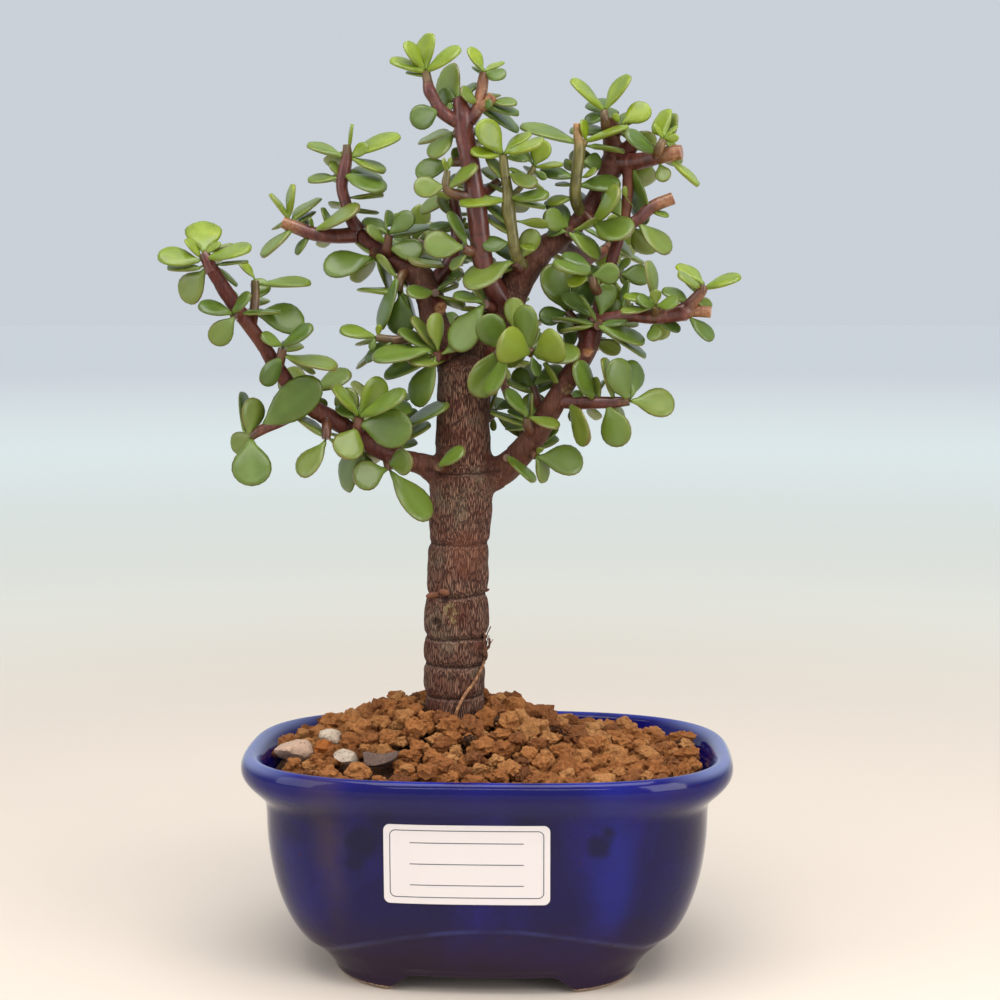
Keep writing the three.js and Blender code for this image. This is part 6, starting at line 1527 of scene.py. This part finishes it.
class Nodes:
    """A node tree, with short names for the steps that the finishes are made of."""

    def __init__(self, tree):
        self.tree = tree

    def add(self, kind, sockets=None, **settings):
        """A node with its settings. Each socket takes another node's output, a colour or a value."""
        node = self.tree.nodes.new(kind)
        for key, value in settings.items():
            setattr(node, key, value)
        for key, value in (sockets or {}).items():
            if isinstance(value, bpy.types.NodeSocket):
                self.tree.links.new(value, node.inputs[key])
            else:
                node.inputs[key].default_value = colour(value) if isinstance(value, str) else value
        return node

    def stored(self, name):
        return self.add("ShaderNodeAttribute", attribute_name=name).outputs["Fac"]

    def calc(self, operation, a, b=0.0):
        return self.add("ShaderNodeMath", {0: a, 1: b}, operation=operation).outputs[0]

    def plus(self, a, b):
        return self.calc("ADD", a, b)

    def minus(self, a, b):
        return self.calc("SUBTRACT", a, b)

    def times(self, a, b):
        return self.calc("MULTIPLY", a, b)

    def size(self, a):
        return self.calc("ABSOLUTE", a)

    def length(self, a, b):
        return self.calc("SQRT", self.plus(self.times(a, a), self.times(b, b)))

    def spread(self, value, low, high, to_low=0.0, to_high=1.0):
        """The value, taken from between low and high, smoothly to between to_low and to_high."""
        return self.add("ShaderNodeMapRange", {0: value, 1: low, 2: high, 3: to_low, 4: to_high},
                        interpolation_type="SMOOTHSTEP").outputs[0]

    def mix(self, factor, a, b):
        return self.add("ShaderNodeMix", {0: factor, 6: a, 7: b}, data_type="RGBA").outputs[2]

    def ramp(self, factor, *stops):
        """A blend through colours, each given as (where, colour)."""
        node = self.add("ShaderNodeValToRGB", {0: factor})
        elements = node.color_ramp.elements
        while len(elements) < len(stops):
            elements.new(0.5)
        for element, (where, tone) in zip(elements, stops):
            element.position, element.color = where, colour(tone)
        return node.outputs[0]

    def places(self, scale=(1, 1, 1)):
        """The place in the model's frame, stretched, in mm."""
        stretch = {"Vector": self.add("ShaderNodeTexCoord").outputs["Object"],
                   "Scale": tuple(share / MM for share in scale)}
        return self.add("ShaderNodeMapping", stretch).outputs[0]

    def clouds(self, vector, scale, detail=3.0, roughness=0.5, distortion=0.0, output=0):
        sockets = {"Vector": vector, "Scale": scale, "Detail": detail, "Roughness": roughness,
                   "Distortion": distortion}
        return self.add("ShaderNodeTexNoise", sockets).outputs[output]

    def cells(self, vector, scale, feature="F1"):
        sockets = {"Vector": vector, "Scale": scale}
        return self.add("ShaderNodeTexVoronoi", sockets, feature=feature).outputs["Distance"]

    def away(self, vector, place):
        sockets = {0: vector, 1: place}
        return self.add("ShaderNodeVectorMath", sockets, operation="DISTANCE").outputs["Value"]

    def bump(self, height, strength, distance):
        sockets = {"Height": height, "Strength": strength, "Distance": distance * MM}
        return self.add("ShaderNodeBump", sockets).outputs[0]


def finish_of(name, build, *objects):
    """A material whose Principled sockets come from build(nodes), put on these objects."""
    material = bpy.data.materials.new(name)
    material.use_nodes = True
    t = Nodes(material.node_tree)
    t.tree.nodes.clear()
    shader = t.add("ShaderNodeBsdfPrincipled", build(t))
    t.add("ShaderNodeOutputMaterial", {"Surface": shader.outputs[0]})
    for obj in objects:
        obj.data.materials.clear()
        obj.data.materials.append(material)


# %% [markdown]
# The glaze is a deep cobalt, thick and glossy. It pools darker in places, runs thin and paler over the
# lip and over the edge above the foot, and has a few spots where pigment gathered. The feet are bare,
# buff clay.

# %% Glaze
# Spots of gathered pigment on the front: (across, height, reach) in mm round the pot's centre
GLAZE_SPOTS = [(33.5, 46, 3.6), (-34, 46, 5), (36, 50, 2), (-36, 40, 3)]
# Upright stripes on the front, greyish brown at the left and bright blue at the right:
# (across, reach, colour, how strong)
STRIPES = [(-45, 10, "3c2e36", 0.75), (37, 11, "1c2c9a", 0.28), (58, 8, "33284a", 0.35)]
MID = tuple(-v / MM for v in POT_CENTRE)


def glaze(t):
    spot = t.places()
    apart = t.add("ShaderNodeSeparateXYZ", {0: spot})
    x = t.plus(apart.outputs[0], MID[0])
    y = t.plus(apart.outputs[1], MID[1])
    z = apart.outputs[2]
    wash = t.clouds(spot, 0.035, 3, 0.5, 0.6)
    base = t.ramp(wash, (0.3, "0a0734"), (0.5, "0f0944"), (0.7, "150f5c"))
    fine = t.clouds(spot, 0.9, 2)
    base = t.mix(t.spread(fine, 0.35, 0.75, 0, 0.25), base, "06052c")
    front = t.spread(y, -34, -39)
    for at_x, reach, tone, most in STRIPES:
        stripe = t.spread(t.size(t.minus(x, at_x)), reach, 1, 0, most)
        uneven = t.spread(t.clouds(spot, 0.07, 3), 0.3, 0.65, 0.3, 1)
        base = t.mix(t.times(t.times(stripe, uneven), front), base, tone)
    edge = t.stored("above_edge")
    pale = t.times(t.spread(t.size(edge), 1.3, 0.1), t.spread(t.clouds(spot, 0.08, 2), 0.3, 0.7, 0.1, 0.6))
    base = t.mix(pale, base, "3a4590")
    base = t.mix(t.spread(z, 28, 8, 0, 0.75), base, "27121e")
    base = t.mix(t.spread(z, 53, 59, 0, 0.3), base, "101074")
    lip = t.times(t.spread(z, 64.3, 65.3), t.spread(t.clouds(spot, 0.06, 3), 0.35, 0.7, 0.15, 0.8))
    base = t.mix(lip, base, "222c94")
    thin = t.times(t.spread(t.size(x), 50, 70), t.spread(z, 62.6, 64.8, 0, 0.65))
    base = t.mix(thin, base, "7a84ac")
    for at_x, at_z, reach in GLAZE_SPOTS:
        away = t.length(t.minus(x, at_x), t.minus(z, at_z))
        frayed = t.plus(away, t.times(t.clouds(spot, 0.35, 2), 3.0))
        mark = t.times(t.spread(frayed, reach + 2.6, reach - 0.4, 0, 0.85), front)
        base = t.mix(mark, base, "04042c")
    dots = t.spread(t.cells(spot, 0.22), 0.16, 0.09)
    dots = t.times(dots, t.spread(t.clouds(spot, 0.09, 1), 0.56, 0.66, 0, 0.5))
    base = t.mix(dots, base, "300a30")
    bare = t.spread(t.plus(z, t.times(fine, 1.0)), 2.0, 1.5)
    base = t.mix(bare, base, "a98f74")
    return {"Base Color": base, "Roughness": t.spread(bare, 0, 1, 0.09, 0.85), "Specular IOR Level": 0.28,
            "Normal": t.bump(t.clouds(spot, 0.11, 2), 0.25, 0.5)}


finish_of("cobalt_glaze", glaze, glazed_pot)

# %% [markdown]
# The sticker is white paper with a thin rounded border and three ruled lines. They are drawn by distance:
# the border is where the distance from the rim of a rounded oblong falls in a narrow band.

# %% Sticker paper
RULES = {"inset": 1.8, "corner": 1.6, "line": 0.3, "heights": (6.2, 0, -6.2), "reach": 0.8, "lift": 0.25}


def sticker(t):
    apart = t.add("ShaderNodeSeparateXYZ", {0: t.places()})
    x = t.minus(apart.outputs[0], POT_CENTRE.x / MM + LABEL_MIDDLE[0])
    z = t.minus(apart.outputs[2], LABEL_MIDDLE[1] + RULES["lift"])
    z = t.minus(z, t.times(x, LABEL_SLOPE))
    ax, az = t.size(x), t.size(z)
    half_x = label_width / 2 - RULES["inset"] - RULES["corner"]
    half_z = label_height / 2 - RULES["inset"] - RULES["corner"]
    dx = t.calc("MAXIMUM", t.minus(ax, half_x), 0.0)
    dz = t.calc("MAXIMUM", t.minus(az, half_z), 0.0)
    away = t.length(dx, dz)
    off_border = t.size(t.minus(away, RULES["corner"]))
    ink = t.calc("LESS_THAN", off_border, RULES["line"] / 2)
    within = t.calc("LESS_THAN", ax, half_x * RULES["reach"])
    for height in RULES["heights"]:
        off = t.size(t.minus(z, height))
        line = t.times(t.calc("LESS_THAN", off, RULES["line"] / 2), within)
        ink = t.calc("MAXIMUM", ink, line)
    return {"Base Color": t.mix(ink, "e0d8d6", "55575c"), "Roughness": 0.5,
            "Normal": t.bump(t.clouds(t.places(), 2.5, 2), 0.05, 0.05)}


finish_of("sticker_paper", sticker, paper_label)

# %% [markdown]
# The screens are dull green-grey plastic. The stones are porous: their colour wanders and small pits are
# pressed into them. The chip is dark, fibrous bark.

# %% Screens, stones and chip


def plastic(t):
    return {"Base Color": t.mix(t.clouds(t.places(), 0.3), "2c332e", "39423b"), "Roughness": 0.6}


def porous(light, dark, pits):
    """How to build a finish of these three colours, for finish_of."""
    def build(t):
        spot = t.places()
        tone = t.mix(t.clouds(spot, 0.5, 4, 0.6), dark, light)
        pit = t.spread(t.cells(spot, 1.1), 0.3, 0.05)
        tone = t.mix(t.times(pit, 0.6), tone, pits)
        rough = t.minus(t.clouds(spot, 1.1, 4, 0.7), pit)
        return {"Base Color": tone, "Roughness": 0.9, "Normal": t.bump(rough, 0.8, 0.8)}
    return build


for name in ("screen_mesh_left", "screen_mesh_right"):
    finish_of("screen_plastic", plastic, bpy.data.objects[name])
finish_of("pink_pumice_stone", porous("d6b59c", "aa8a72", "745244"), stones["pink_pumice"])
finish_of("white_pumice_stone", porous("dccbb6", "b0987c", "705a48"), stones["white_pumice"])
finish_of("pale_shard_stone", porous("d2c2ae", "947c66", "5c4636"), stones["pale_shard"])
finish_of("chip_bark", porous("7a6054", "35261f", "120c0a"), stones["dark_bark_chip"])

# %% [markdown]
# The grains are fired clay. Each grain has its own number, and a ramp turns it into a tone: mostly
# orange-brown, some dark, a few pale. Dust and pits break it up further.

# %% Fired clay


def fired_clay(t):
    spot = t.places()
    number = t.spread(t.stored("tone"), -0.1, 1.0)
    # The darkest stops colour the odd dark bits, and give the bed under the grains its painted shade
    tone = t.ramp(number, (0.0, "1c1412"), (0.03, "33201a"), (0.08, "8c5430"), (0.35, "b26e3a"),
                  (0.7, "c88248"), (0.94, "da9c60"), (1.0, "d07832"))
    dust = t.clouds(spot, 0.7, 4, 0.65)
    tone = t.mix(t.spread(dust, 0.35, 0.65, 0.38, 0), tone, "6c4022")
    pale = t.clouds(spot, 2.6, 3, 0.7)
    tone = t.mix(t.spread(pale, 0.5, 0.7, 0, 0.5), tone, "c89866")
    pit = t.spread(t.cells(spot, 1.9), 0.32, 0.08)
    tone = t.mix(t.times(pit, 0.55), tone, "3a1c0e")
    rough = t.minus(t.clouds(spot, 1.8, 5, 0.75), t.times(pit, 0.6))
    return {"Base Color": tone, "Roughness": 0.95, "Specular IOR Level": 0.2,
            "Normal": t.bump(rough, 1.0, 1.2)}


finish_of("fired_clay_grains", fired_clay, clay_soil)

# %% [markdown]
# The bark changes with the thickness of the wood. The trunk is grey-brown with a net of fine upright
# cracks, the limbs are redder and smoother, and the youngest are purple-red. The ring grooves are painted
# darker, as shade, and on thick wood a pale line just below each ring is a painted highlight where its
# edge catches the light. Cut ends are orange-brown.

# %% Bark
# A place on the front of the trunk where the bark is smooth and reddish
SMOOTH_BARK = tuple(in_frame(seen(-5.5, 124, -9)) / MM)


def bark(t):
    tall = t.places((1, 1, 0.12))
    spot = t.places()
    girth = t.stored("girth")
    shifted = t.mix(0.12, tall, t.clouds(spot, 0.6, 2, output=1))
    crack = t.cells(shifted, 2.6, "DISTANCE_TO_EDGE")
    split = t.spread(crack, 0.16, 0.0)
    streak = t.clouds(tall, 1.4, 4, 0.65)
    ridges = t.ramp(crack, (0.02, "3c221b"), (0.1, "603e30"), (0.22, "87654f"), (0.4, "a2806a"))
    old = t.mix(0.5, t.ramp(streak, (0.3, "492a23"), (0.5, "6c4538"), (0.72, "8f6a58")), ridges)
    patch = t.clouds(spot, 0.12, 3)
    old = t.mix(t.spread(patch, 0.48, 0.66, 0, 0.6), old, "633022")
    old = t.mix(t.spread(patch, 0.46, 0.32, 0, 0.45), old, "7a6c58")
    middle = t.ramp(streak, (0.3, "46281e"), (0.55, "633a2c"), (0.8, "80553f"))
    young = t.ramp(streak, (0.3, "3a1612"), (0.55, "55241c"), (0.8, "733c30"))
    warm = t.spread(t.clouds(spot, 0.045, 2), 0.5, 0.62, 0, 0.55)
    young = t.mix(warm, young, "7a4c30")
    tone = t.mix(t.spread(girth, 3.2, 6.8), middle, old)
    tone = t.mix(t.spread(girth, 3.9, 2.3), tone, young)
    lined = t.times(split, t.spread(girth, 3, 7, 0.12, 0.5))
    tone = t.mix(lined, tone, "1e1411")
    # Painted shade: the ring grooves are darkened with their depth; the hairs and buds use the same value for
    # their own darker colour
    tone = t.mix(t.times(t.stored("groove"), 0.35), tone, "2a1a16")
    ring = t.stored("ring")
    by_ring = t.spread(t.stored("ring_gap"), 1.6, 1.2)
    line = t.times(t.spread(t.size(ring), 0.27, 0.05), by_ring)
    tone = t.mix(t.times(line, t.spread(girth, 3, 7, 0.2, 0.62)), tone, "20120e")
    # Painted highlight: on thick wood a pale line just below each ring, where its edge catches the light
    painted_ledge_highlight = t.spread(t.size(t.plus(ring, 0.75)), 0.4, 0.1, 0, 0.25)
    painted_ledge_highlight = t.times(t.times(painted_ledge_highlight, by_ring), t.spread(girth, 5, 8))
    tone = t.mix(painted_ledge_highlight, tone, "a88470")
    off_smooth = t.away(spot, SMOOTH_BARK)
    tone = t.mix(t.spread(off_smooth, 9, 4, 0, 0.5), tone, "7d4a36")
    scar = t.stored("scar")
    flake = t.ramp(t.clouds(spot, 0.5, 3), (0.4, "5a3a26"), (0.55, "8a7450"))
    tone = t.mix(t.spread(scar, 0.3, 0.8, 0, 0.9), tone, flake)
    tone = t.mix(t.spread(scar, -0.3, -0.8, 0, 0.75), tone, "2c1410")
    cut = t.ramp(t.clouds(spot, 0.8, 3), (0.35, "94603e"), (0.65, "cc9a70"))
    tone = t.mix(t.stored("sawn"), tone, cut)
    height = t.minus(t.times(streak, 0.7), t.calc("MAXIMUM", split, line))
    return {"Base Color": tone, "Roughness": t.spread(girth, 2.5, 7, 0.45, 0.78), "Specular IOR Level": 0.25,
            "Normal": t.bump(height, t.spread(girth, 2, 8, 0.15, 0.9), 0.6)}


finish_of("jade_bark", bark, trunk_and_limbs)

# %% [markdown]
# A leaf is waxy and a little translucent. Old leaves are mid-green, new ones yellow-green, the underside
# is paler, and the rim is thin and reddish-brown. Stems run from red-brown to olive where the shoot is
# young.

# %% Leaves and stems


def jade_leaf(t):
    spot = t.places()
    new, chance = t.spread(t.stored("youth"), 0.4, 1.0), t.stored("chance")
    upper, along, rim = t.stored("upper"), t.stored("along"), t.stored("rim")
    cloud = t.clouds(spot, 0.16, 3, 0.55)
    mixed = t.plus(t.times(chance, 0.6), t.times(cloud, 0.4))
    old = t.ramp(mixed, (0.2, "43591c"), (0.5, "5a6f25"), (0.8, "69772c"))
    fresh = t.ramp(cloud, (0.35, "66780c"), (0.7, "849416"))
    blade = t.mix(new, old, fresh)
    below = t.mix(new, "7b8a33", "8c9a24")
    blade = t.mix(t.spread(upper, 0.6, 0.3, 0, 0.75), blade, below)
    blade = t.mix(t.spread(along, 0.3, 0.05, 0, 0.35), blade, "768a3c")
    side = t.size(t.stored("side"))
    blade = t.mix(t.spread(side, 0.4, 0.0, 0, 0.06), blade, "8db562")
    fleck = t.spread(t.cells(spot, 0.7), 0.13, 0.07)
    fleck = t.times(fleck, t.spread(t.clouds(spot, 0.2, 1), 0.5, 0.65, 0, 0.55))
    blade = t.mix(fleck, blade, "3a3a1c")
    edge = t.times(rim, t.spread(new, 0.2, 1, 1.0, 0.2))
    edge = t.times(edge, t.spread(chance, 0.2, 0.9, 0.2, 0.6))
    blade = t.mix(edge, blade, "6a4030")
    streak = t.clouds(t.places((1, 1, 0.3)), 0.8, 3)
    stem = t.ramp(streak, (0.3, "451e1a"), (0.6, "623028"), (0.85, "865444"))
    green_stem = t.ramp(streak, (0.3, "4e4a20"), (0.7, "77703a"))
    stem = t.mix(t.stored("green"), stem, green_stem)
    node = t.spread(t.size(t.stored("ring")), 0.5, 0.1, 0, 0.55)
    stem = t.mix(node, stem, "3a1e18")
    dried = t.ramp(t.clouds(spot, 1.0, 3), (0.35, "94603a"), (0.65, "cc9868"))
    stem = t.mix(t.stored("cut"), stem, dried)
    tone = t.mix(t.stored("blade"), stem, blade)
    return {"Base Color": tone, "Roughness": t.spread(cloud, 0.3, 0.7, 0.28, 0.4),
            "Subsurface Weight": 0.12, "Subsurface Radius": (0.8, 1.0, 0.25), "Subsurface Scale": 1.2 * MM,
            "Specular IOR Level": 0.42, "Coat Weight": 0.15, "Coat Roughness": 0.22,
            "Normal": t.bump(t.clouds(spot, 0.5, 3), 0.12, 0.3)}


finish_of("jade_leaf_flesh", jade_leaf, *jade_shoots)

# %% [markdown]
# ## Floor, light and camera
# The floor is pale and plain, and further off it is painted paler and glows faintly: painted light that
# makes up for the lamps' fall-off. A large soft light hangs overhead and one stands on each side, so
# that no shadow is hard; a narrow strip in front draws the long highlight on the lip. The camera stands
# at the standpoint of the readings and looks slightly down; its lens makes the pot and the tree fill the
# picture.

# %% Floor


def pale_board(t):
    """Pale near the pot; painted light far off, paler and glowing, so it meets the room without a line."""
    spot = t.places()
    away = t.away(spot, (0, 0, 0))
    # Painted light: the floor grows paler further off, making up for the lamps' fall-off
    tone = t.mix(t.spread(away, 350, 2200), "dacdbf", "fbf9f5")
    tone = t.mix(t.spread(away, 1800, 6000), tone, "feffff")
    # Painted light: further off the floor glows faintly, where the lamps' light has fallen off
    glow = t.times(t.spread(away, 260, 760, 0, 0.2), t.spread(away, 1200, 5500, 1, 0.1))
    return {"Base Color": tone, "Roughness": 0.9, "Specular IOR Level": 0.1,
            "Emission Color": colour("dafff8"), "Emission Strength": glow}


floor = new_object(bpy.ops.mesh.primitive_plane_add, size=50, location=(POT_CENTRE.x, POT_CENTRE.y, 0))
floor.name = "pale_floor"
finish_of("pale_floor_board", pale_board, floor)
print("floor size, m:", floor.dimensions.x)

# %% Lights


def soft_light(name, place, target, sides, watts, tint):
    """A rectangular light, its place and target in mm round the pot's centre, its sides in metres."""
    lamp = new_object(bpy.ops.object.light_add, type="AREA", location=in_frame(place))
    lamp.name = name
    lamp.data.shape = "RECTANGLE"
    lamp.data.size, lamp.data.size_y = sides
    lamp.data.energy = watts
    lamp.data.color = tint
    lamp.rotation_euler = (in_frame(target) - lamp.location).to_track_quat("-Z", "Y").to_euler()


soft_light("overhead_softbox", (40, -160, 760), (0, 0, 120), (0.7, 0.5), 5.2, (1, 0.98, 0.95))
soft_light("left_softbox", (-620, -330, 380), (0, 0, 110), (0.4, 0.6), 1.6, (1, 0.98, 0.95))
soft_light("right_softbox", (600, -420, 330), (0, 0, 100), (0.35, 0.5), 2.3, (1, 0.98, 0.96))
soft_light("front_strip", (30, -480, 430), (0, -48, 60), (0.42, 0.02), 0.3, (1, 0.99, 0.98))

# A pale room all round fills the shadows
room = bpy.data.worlds.new("pale_room")
room.use_nodes = True
room.node_tree.nodes["Background"].inputs["Color"].default_value = colour("e3eaf3")
room.node_tree.nodes["Background"].inputs["Strength"].default_value = 0.77
bpy.context.scene.world = room
bpy.context.scene.view_settings.view_transform = "Standard"

# %% Camera
LENS, SENSOR_WIDTH = 64.8, 36
NEAREST, FARTHEST = 0.01, 20
camera = new_object(bpy.ops.object.camera_add, location=in_frame(EYE_TURNED),
                    rotation=(math.pi / 2 - LOOK_DOWN, 0, POT_TURN))
camera.data.lens, camera.data.sensor_width = LENS, SENSOR_WIDTH
camera.data.clip_start, camera.data.clip_end = NEAREST, FARTHEST
bpy.context.scene.camera = camera
print("camera at, m:", [round(v, 3) for v in camera.location])
